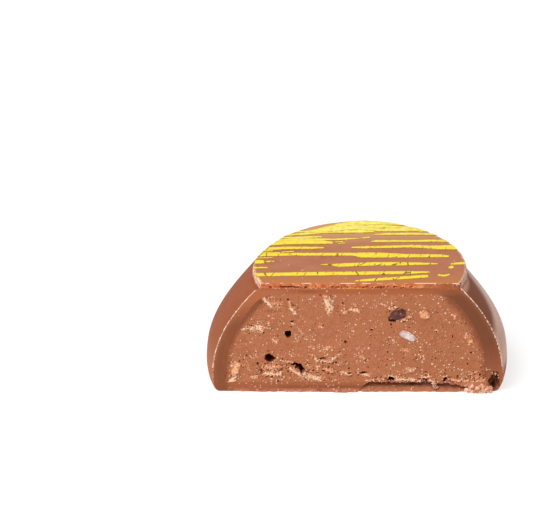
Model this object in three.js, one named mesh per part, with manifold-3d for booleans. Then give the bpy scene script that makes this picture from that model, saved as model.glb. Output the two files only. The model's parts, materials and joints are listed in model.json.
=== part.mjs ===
// A round almond praline chocolate, cut through so that its inside shows. A milk chocolate coat
// with a parabolic dome wraps a soft praline filling with chopped almonds in it, and a thin
// printed chocolate disc closes the top. The cut runs a little in front of the middle, so
// somewhat more than half of the round chocolate is left.
//
// Frame: millimetres, +Z up. The origin is the centre of the round base, on the surface that the
// chocolate stands on. The cut face looks along -Y.
import * as THREE from "three";
import { mergeVertices, toCreasedNormals } from "three/addons/utils/BufferGeometryUtils.js";
import Module from "manifold-3d";

const wasm = await Module();
wasm.setup();

// Driving dimensions, in millimetres and degrees.
const CUT_OFFSET = 4.8; // from the middle of the chocolate forwards to the cut
const CLEARANCE = 0.2; // free space between neighbouring pieces
const NIB_CLEARANCE = 0.12; // free space round a chopped almond piece

const COAT = {
  bellyRadius: 17, // where the chocolate is widest
  bellyHeight: 2,
  footRadius: 16.2, // the flat that it stands on
  footBulge: 0.45, // how far the foot swells out above that flat
  footRounding: 0.6,
  neckRadius: 12.45, // the dome's top edge, round the disc
  neckHeight: 12.6,
  domePower: 2.08, // 2 is a plain parabola
  wall: 1.5, // beside the filling, on average
  base: 1.15, // under the filling
  top: 0.5, // over the filling
};

const DISC = {
  thickness: 0.7,
  topRadius: 11.95,
  underRadius: 12.2,
  shift: 0.1, // to the right of the coat's middle
  lift: 0.1, // free space under the disc
  raggedness: { size: 1.3, depth: 0.07 },
};

// One side of the disc's rim is pressed flatter, on the bearing given and to either side of it.
const PRESSED_RIM = { bearing: 125, spread: 26, depth: 0.4 };

const FILLING = {
  shift: -0.3, // to the left of the coat's middle, so the coat is thicker on the right
  topRounding: 1.1,
};

// Hand-dipped unevenness: waves round the coat, which die out between the two heights.
const DIP_WAVES = [
  { count: 2, share: 0.007, bearing: 35 },
  { count: 3, share: 0.006, bearing: 40 },
];
const DIP_FADE = { low: 6, high: 12 };

// Behind the cut the dome falls in more towards its neck. Low and high are heights, and the
// change comes in between the two sines of the bearing.
const SHOULDER = { share: 0.045, low: 4, high: 12, fromSine: -0.38, toSine: 0.12 };

// A strip of the coat's base has broken off along the cut, under the filling.
const BROKEN_STRIP = {
  start: 0.4,
  end: 12.4,
  depth: 0.9, // at its upper edge
  lip: 0.12, // how deep it still is at its foot
  slant: 0.35, // how far the right end leans outwards
  sinkFrom: 4.5, // from here to its right end the upper edge sinks
  sink: 0.75,
  raggedness: { size: 0.6, depth: 0.2 },
  teeth: 16,
};

// The corner where that strip ends is a crumbly hole between the coat and the filling.
const CORNER_HOLE = { x: 14.75, z: 1.75, behindCut: 0.5, size: [1.7, 2.4, 2.1], roughness: 0.3 };

// Grain of the cut faces: how large its lumps are and how far they stand in and out.
const FILLING_GRAIN = [
  { size: 0.8, depth: 0.06 },
  { size: 0.33, depth: 0.04 },
];
const COAT_GRAIN = [{ size: 2.2, depth: 0.04 }];
const DISC_GRAIN = [
  { size: 0.5, depth: 0.1 },
  { size: 0.25, depth: 0.05 },
];

// Torn and crumbly places on the filling's cut face: centre, size, tilt and how deep they go.
const TORN_PLACES = [
  { x: -9.6, z: 10.9, width: 2.2, height: 1.4, tilt: -25, depth: 0.4 },
  { x: -7.3, z: 10.3, width: 0.9, height: 2.0, tilt: 18, depth: 0.35 },
  { x: -11.0, z: 7.9, width: 3.0, height: 1.1, tilt: -4, depth: 0.4 },
  { x: -3.3, z: 10.8, width: 1.1, height: 2.0, tilt: 16, depth: 0.35 },
  { x: -0.4, z: 10.4, width: 1.4, height: 0.9, tilt: 0, depth: 0.25 },
  { x: -6.3, z: 2.9, width: 2.2, height: 1.2, tilt: -35, depth: 1.2 },
  { x: -9.4, z: 2.6, width: 2.8, height: 1.2, tilt: 6, depth: 0.45 },
  { x: -3.6, z: 4.0, width: 3.5, height: 1.3, tilt: -8, depth: 0.5 },
  { x: 0.6, z: 2.2, width: 1.2, height: 0.6, tilt: 0, depth: 0.6 },
  { x: 13.4, z: 2.2, width: 2.2, height: 2.2, tilt: 0, depth: 0.8 },
];
const TORN_EDGE = { inner: 0.45, outer: 1.15, raggedness: 0.35 };

// Round air holes in the filling.
const AIR_HOLES = [
  { x: -7.85, z: 7.1, radius: 0.38 },
  { x: -9.8, z: 4.15, radius: 0.45 },
  { x: -7.4, z: 8.55, radius: 0.24 },
  { x: -1.45, z: 6.0, radius: 0.22 },
];
const AIR_HOLE_ROUGHNESS = 0.12;

// Chopped almond pieces that the cut has opened: whole size, and how far each stands proud.
const NIBS = [
  { name: "almond_nib_blanched", x: 5.5, z: 7.05, size: [2.1, 1.5, 1.1], tilt: 28, proud: 0.1, color: 0xdcd5d2 },
  { name: "almond_nib_skin_on", x: 4.4, z: 9.6, size: [2.2, 1.4, 1.3], tilt: -14, proud: 0.06, color: 0x5f382c },
  { name: "almond_nib_golden_upper", x: 7.3, z: 9.6, size: [1.2, 1.1, 1.2], tilt: -30, proud: 0.1, color: 0xc98650 },
  { name: "almond_nib_golden_lower", x: -13.8, z: 2.75, size: [0.95, 1.0, 1.7], tilt: 18, proud: 0.1, color: 0xd9905a },
  { name: "almond_nib_golden_side", x: 12.45, z: 6.35, size: [0.8, 0.8, 0.65], tilt: -20, proud: 0.1, color: 0xe0a06a },
];
const NIB_SHAPE = { detail: 2, roughness: 0.22, cutShare: 0.12 };

// Crumbs on the rims of the torn places and along the broken strip's upper edge.
const CRUMBS = {
  seed: 20,
  perPlace: 4,
  ringShare: 0.42, // how far out in its torn place a crumb sits
  sizes: [0.2, 0.4],
  stripSteps: [0.5, 0.9],
  stripLift: [0.05, 0.25],
  sunkShare: 0.12,
  roughness: 0.3,
};

// Facets: steps round a full turn, and the cut faces' cell sizes.
const FACETS = {
  coatRound: 84,
  fillingRound: 56,
  domeSteps: 16,
  fillingSteps: 9,
  heightCrowding: 1.25, // above 1, heights crowd together towards the low end
  coatCell: 1.4,
  fillingCell: 0.48,
  discCell: 0.35,
  crease: 35,
};

const COLORS = { coat: 0x9c5a38, filling: 0xb57350, disc: 0xb07a58 };
const ROUGHNESS = { coat: 0.35, filling: 0.75, disc: 0.5, nib: 0.6 };

const radians = THREE.MathUtils.degToRad;
const smoothstep = THREE.MathUtils.smoothstep;
const mix = THREE.MathUtils.lerp;

// Repeatable random numbers from 0 to 1.
function randomSource(seed) {
  let state = seed;
  return () => {
    state = (state + 0x6d2b79f5) | 0;
    let t = Math.imul(state ^ (state >>> 15), 1 | state);
    t = (t + Math.imul(t ^ (t >>> 7), 61 | t)) ^ t;
    return ((t ^ (t >>> 14)) >>> 0) / 2 ** 32;
  };
}

// A fixed number from -1 to 1 for each point of a lattice.
function latticeValue(i, j, k) {
  const wave = Math.sin(i * 127.1 + j * 311.7 + k * 74.7) * 43758.5453;
  return 2 * (wave - Math.floor(wave)) - 1;
}

// Smooth noise from -1 to 1, with lumps about one unit across.
function noise(x, y, z) {
  const [i, j, k] = [Math.floor(x), Math.floor(y), Math.floor(z)];
  const ease = (t) => t * t * (3 - 2 * t);
  const [u, v, w] = [ease(x - i), ease(y - j), ease(z - k)];
  const edge = (dj, dk) => {
    return mix(latticeValue(i, j + dj, k + dk), latticeValue(i + 1, j + dj, k + dk), u);
  };
  return mix(mix(edge(0, 0), edge(1, 0), v), mix(edge(0, 1), edge(1, 1), v), w);
}

// Lumps of the sizes and depths of a grain, added up at a point of the cut.
function grainAt(grain, x, z) {
  return grain.reduce((sum, { size, depth }, i) => sum + depth * noise(x / size, 3.5 + 2 * i, z / size), 0);
}

// The coat's radius at a height: a rounded foot, a belly, and a dome that falls in to the neck.
function coatRadius(z) {
  if (z >= COAT.bellyHeight) {
    const rise = Math.min((z - COAT.bellyHeight) / (COAT.neckHeight - COAT.bellyHeight), 1);
    return COAT.bellyRadius - (COAT.bellyRadius - COAT.neckRadius) * rise ** COAT.domePower;
  }
  const drop = 1 - z / COAT.bellyHeight;
  const narrowing = COAT.bellyRadius - COAT.footRadius - COAT.footBulge;
  const upFoot = Math.min(z / COAT.footRounding, 1);
  const rounding = COAT.footBulge * (1 - Math.sqrt(1 - (1 - upFoot) ** 2));
  return COAT.bellyRadius - narrowing * drop ** 2 - rounding;
}

// The filling's radius at a height: the coat's, less the wall, with its top edge rounded off.
function fillingRadius(z) {
  const rounding = FILLING.topRounding;
  const fromTop = COAT.neckHeight - COAT.top - z;
  const into = Math.max(0, 1 - fromTop / rounding);
  return coatRadius(z) - COAT.wall - rounding * (1 - Math.sqrt(Math.max(0, 1 - into ** 2)));
}

// Hand-dipped unevenness of the coat, as a share of its radius.
function dippedShare(angle, z) {
  const waves = DIP_WAVES.map(({ count, share, bearing }) => {
    return share * Math.cos(count * (angle - radians(bearing)));
  });
  const fade = 1 - smoothstep(z, DIP_FADE.low, DIP_FADE.high);
  const behind = smoothstep(Math.sin(angle), SHOULDER.fromSine, SHOULDER.toSine);
  const fallen = SHOULDER.share * behind * smoothstep(z, SHOULDER.low, SHOULDER.high);
  return 1 - fallen + fade * waves.reduce((sum, wave) => sum + wave, 0);
}

// The disc's outline, as a share of its radius: one side pressed flatter, and the rim ragged.
function discShare(angle) {
  const away = (angle - radians(PRESSED_RIM.bearing)) / radians(PRESSED_RIM.spread);
  const pressed = PRESSED_RIM.depth * Math.exp(-away * away);
  const { size, depth } = DISC.raggedness;
  const around = DISC.topRadius / size;
  const ragged = depth * noise(around * Math.cos(angle), around * Math.sin(angle), 0);
  return 1 + (ragged - pressed) / DISC.topRadius;
}

// A closed solid from a mesh whose shared points are merged.
function toSolid(geometry) {
  const bare = geometry.clone();
  bare.deleteAttribute("normal");
  bare.deleteAttribute("uv");
  const merged = mergeVertices(bare, 1e-4);
  return new wasm.Manifold(
    new wasm.Mesh({
      numProp: 3,
      vertProperties: new Float32Array(merged.attributes.position.array),
      triVerts: new Uint32Array(merged.index.array),
    }),
  );
}

function fromSolid(solid) {
  const { vertProperties, triVerts } = solid.getMesh();
  return new THREE.BufferGeometry()
    .setAttribute("position", new THREE.BufferAttribute(new Float32Array(vertProperties), 3))
    .setIndex(new THREE.BufferAttribute(new Uint32Array(triVerts), 1));
}

// The largest body of a solid, without the loose scraps that the cuts leave.
function withoutScraps(solid) {
  return solid.decompose().reduce((best, body) => (body.volume() > best.volume() ? body : best));
}

function mesh(name, geometry, color, roughness) {
  const material = new THREE.MeshStandardMaterial({ color, roughness, metalness: 0 });
  const made = new THREE.Mesh(toCreasedNormals(geometry, radians(FACETS.crease)), material);
  made.name = name;
  return made;
}

// Moves every point of a geometry by a rule.
function reshape(geometry, rule) {
  const at = geometry.attributes.position;
  const point = new THREE.Vector3();
  for (let i = 0; i < at.count; i++) {
    rule(point.fromBufferAttribute(at, i));
    at.setXYZ(i, point.x, point.y, point.z);
  }
  return geometry;
}

// A round solid on a vertical axis, from the [height, radius] pairs of its side.
function turned(side, steps, shareAt = () => 1) {
  const outline = side.map(([z, radius]) => new THREE.Vector2(radius, z));
  const profile = [new THREE.Vector2(0, side[0][0]), ...outline, new THREE.Vector2(0, side.at(-1)[0])];
  const geometry = new THREE.LatheGeometry(profile, steps).rotateX(Math.PI / 2);
  reshape(geometry, (p) => {
    const share = shareAt(Math.atan2(p.y, p.x), p.z);
    p.set(p.x * share, p.y * share, p.z);
  });
  return toSolid(geometry);
}

function heightsBetween(low, high, steps) {
  return Array.from({ length: steps + 1 }, (_, i) => {
    return mix(low, high, (i / steps) ** FACETS.heightCrowding);
  });
}

// What the knife leaves standing: a block whose front is the cut, with a relief on it.
function keptBlock(cell, reliefAt) {
  const [width, depth, height] = [2.2 * COAT.bellyRadius, 2 * COAT.bellyRadius, COAT.neckHeight + 4];
  const columns = Math.round(width / cell);
  const rows = Math.round(height / cell);
  const middle = depth / 2 - CUT_OFFSET;
  const geometry = new THREE.BoxGeometry(width, depth, height, columns, 1, rows);
  geometry.translate(0, middle, COAT.neckHeight / 2);
  reshape(geometry, (p) => {
    if (p.y < middle) p.y += reliefAt(p.x, p.z);
  });
  return toSolid(geometry);
}

// How far a point of the cut lies inside a torn place: 1 at its middle, 0 outside.
function insideTorn(place, x, z) {
  const tilt = radians(place.tilt);
  const [dx, dz] = [x - place.x, z - place.z];
  const along = (dx * Math.cos(tilt) + dz * Math.sin(tilt)) / (place.width / 2);
  const across = (dz * Math.cos(tilt) - dx * Math.sin(tilt)) / (place.height / 2);
  const reach = Math.hypot(along, across) + TORN_EDGE.raggedness * noise(1.9 * x, 0, 1.9 * z);
  return 1 - smoothstep(reach, TORN_EDGE.inner, TORN_EDGE.outer);
}

// The filling's cut face: grainy all over, and torn in places.
function fillingRelief(x, z) {
  const torn = TORN_PLACES.map((place) => place.depth * insideTorn(place, x, z));
  const lumpy = 0.75 + 0.5 * noise(2.6 * x, 1, 2.6 * z);
  return grainAt(FILLING_GRAIN, x, z) + lumpy * torn.reduce((sum, depth) => sum + depth, 0);
}

// A lump with an uneven surface, of a given size: a crumb, a hole or a chopped almond piece.
function lump(size, detail, roughness, seed) {
  const half = new THREE.Vector3(...size).multiplyScalar(0.5);
  return reshape(new THREE.IcosahedronGeometry(1, detail), (p) => {
    const swell = 1 + roughness * noise(1.6 * p.x + seed, 1.6 * p.y, 1.6 * p.z - seed);
    p.multiplyScalar(swell).multiply(half);
  });
}

// A geometry as a solid at its place, turned in the plane of the cut and grown by a margin.
function placed(geometry, position, turn = 0, margin = 0) {
  const copy = geometry.clone();
  copy.computeBoundingBox();
  const size = copy.boundingBox.getSize(new THREE.Vector3());
  copy.scale(...size.toArray().map((side) => 1 + (2 * margin) / side));
  copy.rotateY(turn).translate(...position.toArray());
  return toSolid(copy);
}

// The gap under the filling where a strip of the coat's base has broken off. Its back leans
// forwards towards its foot.
function brokenStrip() {
  const { start, end, depth, lip, slant, sinkFrom, sink, teeth, raggedness } = BROKEN_STRIP;
  const below = -1;
  const top = COAT.base + CLEARANCE / 2;
  const outline = new THREE.Shape().moveTo(start, below);
  for (let i = 0; i <= teeth; i++) {
    const x = mix(start, end, i / teeth);
    const tooth = raggedness.depth * noise(x / raggedness.size, 0, 0);
    const sunk = sink * Math.max(0, (x - sinkFrom) / (end - sinkFrom));
    outline.lineTo(x, top + tooth - sunk);
  }
  outline.lineTo(end + slant, below);
  const forwards = depth + 2;
  const geometry = new THREE.ExtrudeGeometry(outline, { depth: forwards, bevelEnabled: false });
  // The outline's upright axis becomes height, and the extrusion runs forwards out of the cut.
  geometry.rotateX(Math.PI / 2).translate(0, depth - CUT_OFFSET, 0);
  reshape(geometry, (p) => {
    if (p.y > -CUT_OFFSET) p.y = mix(lip, depth, p.z / top) - CUT_OFFSET;
  });
  return toSolid(geometry);
}

function cornerHole() {
  const { x, z, behindCut, size, roughness } = CORNER_HOLE;
  return placed(lump(size, 1, roughness, x), new THREE.Vector3(x, behindCut - CUT_OFFSET, z));
}

// The filling before it is cut, grown by a margin on every side.
function fillingBody(margin) {
  const low = COAT.base;
  const high = COAT.neckHeight - COAT.top;
  const shoulder = high - FILLING.topRounding;
  const rounded = [0.45, 0.75, 0.94].map((share) => mix(shoulder, high, share));
  const heights = [...heightsBetween(low, shoulder, FACETS.fillingSteps), ...rounded];
  const side = heights.map((z) => [z, fillingRadius(z) + margin]);
  side[0][0] -= margin;
  side.at(-1)[0] += margin;
  return turned(side, FACETS.fillingRound).translate(FILLING.shift, 0, 0);
}

// The milk chocolate coat: dome, base and the thin layer over the filling, in one piece.
function chocolateCoat() {
  const foot = [0, 0.12, 0.45].map((share) => share * COAT.footRounding);
  const heights = [...foot, ...heightsBetween(COAT.footRounding, COAT.neckHeight, FACETS.domeSteps)];
  const side = heights.map((z) => [z, coatRadius(z)]);
  const solid = turned(side, FACETS.coatRound, dippedShare)
    .subtract(fillingBody(CLEARANCE))
    .intersect(keptBlock(FACETS.coatCell, (x, z) => grainAt(COAT_GRAIN, x, z)))
    .subtract(brokenStrip())
    .subtract(cornerHole());
  return mesh("chocolate_coat", fromSolid(withoutScraps(solid)), COLORS.coat, ROUGHNESS.coat);
}

// The middles of the crumbs that lie round the torn places and along the broken strip.
function crumbSpots(between) {
  const spots = TORN_PLACES.flatMap((place) =>
    Array.from({ length: CRUMBS.perPlace }, () => {
      const angle = between(0, 2 * Math.PI);
      const x = place.x + CRUMBS.ringShare * place.width * Math.cos(angle);
      return [x, place.z + CRUMBS.ringShare * place.height * Math.sin(angle)];
    }),
  );
  const lowest = COAT.base + CRUMBS.sizes[1] / 2;
  for (let x = BROKEN_STRIP.start; x < BROKEN_STRIP.end; x += between(...CRUMBS.stripSteps)) {
    spots.push([x, lowest + between(...CRUMBS.stripLift)]);
  }
  return spots;
}

function crumbs() {
  const random = randomSource(CRUMBS.seed);
  const between = (low, high) => mix(low, high, random());
  const solids = crumbSpots(between).map(([x, z]) => {
    const size = between(...CRUMBS.sizes);
    const shape = lump([size, size, size], 0, CRUMBS.roughness, between(0, 10));
    const behindCut = fillingRelief(x, z) + CRUMBS.sunkShare * size;
    return placed(shape, new THREE.Vector3(x, behindCut - CUT_OFFSET, z), between(0, Math.PI));
  });
  return wasm.Manifold.union(solids);
}

function airHoles() {
  const solids = AIR_HOLES.map(({ x, z, radius }) => {
    const shape = lump([2 * radius, 3 * radius, 2 * radius], 1, AIR_HOLE_ROUGHNESS, x);
    return placed(shape, new THREE.Vector3(x, -CUT_OFFSET, z));
  });
  return wasm.Manifold.union(solids);
}

// A chopped almond piece round its own middle, opened by the knife on its front.
function nibGeometry({ size: [width, depth, height] }, seed) {
  const { detail, roughness, cutShare } = NIB_SHAPE;
  const whole = lump([width, depth, height], detail, roughness, seed);
  const keep = new THREE.BoxGeometry(2 * width, 2 * depth, 2 * height);
  keep.translate(0, (1 - cutShare) * depth, 0);
  return fromSolid(toSolid(whole).intersect(toSolid(keep)));
}

function nibPosition({ x, z, size, proud }) {
  return new THREE.Vector3(x, NIB_SHAPE.cutShare * size[1] - proud - CUT_OFFSET, z);
}

function nibMeshes() {
  return NIBS.map((nib, i) => {
    const made = mesh(nib.name, nibGeometry(nib, i), nib.color, ROUGHNESS.nib);
    made.position.copy(nibPosition(nib));
    made.rotation.y = radians(nib.tilt);
    return made;
  });
}

// The praline filling, with its torn places, air holes, crumbs and the almond pieces' pockets.
function pralineFilling(nibs) {
  const pockets = nibs.map((nib) => {
    return placed(nib.geometry, nib.position, nib.rotation.y, NIB_CLEARANCE);
  });
  const solid = fillingBody(0)
    .intersect(keptBlock(FACETS.fillingCell, fillingRelief))
    .add(crumbs())
    .subtract(airHoles())
    .subtract(wasm.Manifold.union(pockets));
  return mesh("praline_filling", fromSolid(withoutScraps(solid)), COLORS.filling, ROUGHNESS.filling);
}

// The thin printed disc that closes the top, cut with the rest.
function printedDisc() {
  const side = [0, 0.4, 1].map((share) => {
    return [share * DISC.thickness, mix(DISC.underRadius, DISC.topRadius, share)];
  });
  const whole = turned(side, FACETS.coatRound, discShare).translate(DISC.shift, 0, COAT.neckHeight + DISC.lift);
  const solid = whole.intersect(keptBlock(FACETS.discCell, (x, z) => grainAt(DISC_GRAIN, x, z)));
  return mesh("printed_disc", fromSolid(withoutScraps(solid)), COLORS.disc, ROUGHNESS.disc);
}

const chocolate = new THREE.Group();
const nibs = nibMeshes();
chocolate.add(chocolateCoat(), pralineFilling(nibs), printedDisc(), ...nibs);

export default chocolate;
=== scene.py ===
"""Dresses an almond praline chocolate that is cut through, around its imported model.

The chocolate has a milk chocolate coat, a praline filling with chopped almonds, and a thin
printed disc on top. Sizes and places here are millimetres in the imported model's frame: +Z up, the
origin at the middle of the base, and the cut face towards -Y. Finished meshes are in metres.
"""
import json
import logging
import math
from collections.abc import Callable
from dataclasses import dataclass, field
from enum import Enum
from functools import cache, cached_property, partialmethod
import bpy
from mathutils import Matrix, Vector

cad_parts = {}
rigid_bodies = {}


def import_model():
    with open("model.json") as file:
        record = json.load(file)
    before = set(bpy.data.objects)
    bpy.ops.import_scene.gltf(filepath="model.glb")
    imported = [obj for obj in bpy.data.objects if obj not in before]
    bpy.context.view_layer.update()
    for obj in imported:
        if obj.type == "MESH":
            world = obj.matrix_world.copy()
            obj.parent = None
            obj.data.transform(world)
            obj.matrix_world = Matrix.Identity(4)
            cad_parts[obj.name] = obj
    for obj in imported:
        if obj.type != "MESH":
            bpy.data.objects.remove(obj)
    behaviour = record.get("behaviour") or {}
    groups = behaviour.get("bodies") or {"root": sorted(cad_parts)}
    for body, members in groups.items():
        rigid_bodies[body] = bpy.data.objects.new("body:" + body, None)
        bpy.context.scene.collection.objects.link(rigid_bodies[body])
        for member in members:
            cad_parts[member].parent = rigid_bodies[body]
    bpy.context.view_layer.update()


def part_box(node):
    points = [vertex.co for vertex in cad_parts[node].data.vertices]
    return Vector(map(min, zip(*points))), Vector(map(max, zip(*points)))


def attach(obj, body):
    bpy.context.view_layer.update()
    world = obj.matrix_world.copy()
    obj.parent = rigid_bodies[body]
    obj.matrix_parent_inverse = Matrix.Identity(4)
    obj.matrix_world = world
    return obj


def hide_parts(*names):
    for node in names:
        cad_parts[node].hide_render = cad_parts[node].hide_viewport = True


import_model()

from types import SimpleNamespace

import bmesh
import bpy
import numpy as np
from mathutils import Matrix, Vector

log = logging.getLogger("almond_praline")

MM = 0.001
BODY = "root"

Array = np.ndarray
Material = bpy.types.Material
Mesh = bpy.types.Mesh
Piece = bpy.types.Object
Tree = bpy.types.NodeTree
Triple = tuple[float, float, float]
Color = Triple
DepthRule = Callable[[Array, Array], Array]


def srgb(red: int, green: int, blue: int) -> Color:
    """Turn a screen colour, 0 to 255, into the linear one, 0 to 1, that a shader takes."""
    shares = [channel / 255 for channel in (red, green, blue)]
    return tuple(s / 12.92 if s <= 0.04045 else ((s + 0.055) / 1.055) ** 2.4 for s in shares)


def socket_name(key: str) -> str:
    """Return the socket's name that a Python name stands for."""
    return key.replace("_", " ").title().replace("Ior", "IOR")


# ---------------------------------------------------------------- node trees


class TreeKind(Enum):
    """Where a node tree is used."""

    GEOMETRY = "GeometryNodeTree"
    SHADER = "ShaderNodeTree"


class SocketKind(Enum):
    """What a group's socket carries."""

    GEOMETRY = "NodeSocketGeometry"
    VALUE = "NodeSocketFloat"
    COUNT = "NodeSocketInt"
    VECTOR = "NodeSocketVector"
    MATERIAL = "NodeSocketMaterial"


class Wire:
    """A node's output; arithmetic with it adds math nodes to its sheet."""

    def __init__(self, sheet: "NodeSheet", socket: bpy.types.NodeSocket) -> None:
        """Keep the output and the sheet that it is on."""
        self.sheet, self.socket = sheet, socket

    def then(self, operation: str, *others: "Value") -> "Wire":
        """Return a math node's result on this value and others."""
        return self.sheet.math(operation, self, *others)

    def after(self, operation: str, first: "Value") -> "Wire":
        """Return a math node's result on another value and this one."""
        return self.sheet.math(operation, first, self)

    __add__, __radd__ = partialmethod(then, "ADD"), partialmethod(after, "ADD")
    __sub__, __rsub__ = partialmethod(then, "SUBTRACT"), partialmethod(after, "SUBTRACT")
    __mul__, __rmul__ = partialmethod(then, "MULTIPLY"), partialmethod(after, "MULTIPLY")
    __truediv__, __rtruediv__ = partialmethod(then, "DIVIDE"), partialmethod(after, "DIVIDE")
    __pow__, __abs__ = partialmethod(then, "POWER"), partialmethod(then, "ABSOLUTE")
    max, min = partialmethod(then, "MAXIMUM"), partialmethod(then, "MINIMUM")
    root, sine, cosine = partialmethod(then, "SQRT"), partialmethod(then, "SINE"), partialmethod(then, "COSINE")
    affine = partialmethod(then, "MULTIPLY_ADD")


Value = float | int | bool | str | tuple | Wire | Material


class NodeSheet:
    """A node tree with short calls that add a node and set or wire its inputs."""

    def __init__(self, tree: Tree) -> None:
        """Wrap a tree."""
        self.tree = tree

    @classmethod
    def group(cls, name: str, kind: TreeKind, **inputs: float | int | SocketKind) -> "NodeSheet":
        """Make a node group with named inputs, and a geometry or a mask as its output.

        Args:
            name: The group's name.
            kind: Geometry or shader.
            **inputs: Each input's default, or its kind where it has none.

        Returns:
            The sheet of the new group, with its input and output nodes placed.
        """
        sheet = cls(bpy.data.node_groups.new(name, kind.value))
        sockets = sheet.tree.interface
        for key, default in inputs.items():
            number = SocketKind.COUNT if isinstance(default, int) else SocketKind.VALUE
            carried = default if isinstance(default, SocketKind) else number
            made = sockets.new_socket(socket_name(key), in_out="INPUT", socket_type=carried.value)
            if carried is not default:
                made.default_value = default
        label, carried = ("Geometry", SocketKind.GEOMETRY) if kind is TreeKind.GEOMETRY else ("Mask", SocketKind.VALUE)
        sockets.new_socket(label, in_out="OUTPUT", socket_type=carried.value)
        outputs = sheet.tree.nodes.new("NodeGroupInput").outputs
        sheet.given = SimpleNamespace(**{key: Wire(sheet, outputs[socket_name(key)]) for key in inputs})
        sheet.result = sheet.tree.nodes.new("NodeGroupOutput").inputs[label]
        return sheet

    def feed(self, socket: bpy.types.NodeSocket, value: Value) -> None:
        """Wire an output to a socket, or set the socket's own value."""
        if isinstance(value, Wire):
            self.tree.links.new(value.socket, socket)
        elif isinstance(value, tuple) and len(value) == 3 and len(socket.default_value) == 4:
            socket.default_value = (*value, 1.0)
        else:
            socket.default_value = value

    def add(
        self, kind: str, inputs: dict[str | int, Value] | None = None, output: str | int = 0, **settings: object
    ) -> Wire:
        """Add a node.

        Args:
            kind: The node's type.
            inputs: Values or wires for its inputs, by name or number.
            output: The output that is wanted, by name or number.
            **settings: The node's own properties.

        Returns:
            The wanted output.
        """
        made = self.tree.nodes.new(kind)
        for key, value in settings.items():
            setattr(made, key, value)
        for key, value in (inputs or {}).items():
            self.feed(made.inputs[key], value)
        return Wire(self, made.outputs[output])

    def math(self, operation: str, *values: Value, clamp: bool = False) -> Wire:
        """Return a math node's result on the given values."""
        return self.add("ShaderNodeMath", dict(enumerate(values)), operation=operation, use_clamp=clamp)

    def shifted(self, vector: Wire, x: Value, y: Value, z: Value) -> Wire:
        """Return a vector with something added to each of its values."""
        return self.add("ShaderNodeVectorMath", {0: vector, 1: self.xyz(x, y, z)}, operation="ADD")

    def scaled(self, vector: Wire, factor: Value) -> Wire:
        """Return a vector times a factor."""
        return self.add("ShaderNodeVectorMath", {0: vector, "Scale": factor}, operation="SCALE")

    def xyz(self, x: Value, y: Value, z: Value) -> Wire:
        """Return a vector made of three values."""
        return self.add("ShaderNodeCombineXYZ", {0: x, 1: y, 2: z})

    def parts(self, vector: Wire) -> list[Wire]:
        """Return a vector's three values."""
        first = self.add("ShaderNodeSeparateXYZ", {0: vector})
        return [Wire(self, socket) for socket in first.socket.node.outputs]

    def position(self) -> Wire:
        """Return the place of each point of the geometry."""
        return self.add("GeometryNodeInputPosition")

    def span(self, value: Value, low: Value, high: Value, start: Value = 0.0, end: Value = 1.0) -> Wire:
        """Return a value eased from one range to another and held at its ends."""
        inputs = {"Value": value, "From Min": low, "From Max": high, "To Min": start, "To Max": end}
        return self.add("ShaderNodeMapRange", inputs, interpolation_type="SMOOTHSTEP")

    def noise(self, vector: Value, scale: Value, detail: float = 2.0) -> Wire:
        """Return cloudy noise, about 0 to 1."""
        return self.add("ShaderNodeTexNoise", {"Vector": vector, "Scale": scale, "Detail": detail}, "Fac")

    def blend(self, share: Value, first: Value, second: Value) -> Wire:
        """Return a colour between two, by a share."""
        return self.add("ShaderNodeMix", {"Factor": share, 6: first, 7: second}, 2, data_type="RGBA")

    def named(self, name: str) -> Wire:
        """Return the number that the geometry keeps under a name."""
        return self.add("GeometryNodeInputNamedAttribute", {"Name": name}, data_type="FLOAT")

    def kept(self, geometry: Wire, name: str, value: Value) -> Wire:
        """Return a geometry with a number kept on its points under a name."""
        inputs = {"Geometry": geometry, "Name": name, "Value": value}
        return self.add("GeometryNodeStoreNamedAttribute", inputs, data_type="FLOAT", domain="POINT")

    def end_geometry(self, geometry: Wire) -> Tree:
        """Make a geometry real, give it the tree's material, and end the tree with it."""
        real = self.add("GeometryNodeRealizeInstances", {"Geometry": geometry})
        painted = self.add("GeometryNodeSetMaterial", {"Geometry": real, "Material": self.given.material})
        self.feed(self.result, painted)
        return self.tree


def evaluated_mesh(piece: Piece) -> Mesh:
    """Return what a piece's modifiers make of it, as a plain mesh."""
    return bpy.data.meshes.new_from_object(piece.evaluated_get(bpy.context.evaluated_depsgraph_get()))


def run_geometry_tree(tree: Tree, base: Mesh | None = None, **values: Value) -> Mesh:
    """Run a geometry node tree once and keep its result as a plain mesh.

    Args:
        tree: The tree.
        base: The mesh that it starts from, if it needs one.
        **values: Its inputs, underscores for the spaces of their names.

    Returns:
        The mesh that it makes, in the tree's own units.
    """
    carrier = bpy.data.objects.new(tree.name, base or bpy.data.meshes.new(tree.name))
    bpy.context.scene.collection.objects.link(carrier)
    modifier = carrier.modifiers.new(tree.name, "NODES")
    modifier.node_group = tree
    named = {socket_name(key): value for key, value in values.items()}
    for item in tree.interface.items_tree:
        if item.in_out == "INPUT" and item.name in named:
            modifier[item.identifier] = named[item.name]
    made = evaluated_mesh(carrier)
    bpy.data.objects.remove(carrier)
    return made


# ---------------------------------------------------------------- the chocolate's form


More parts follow.
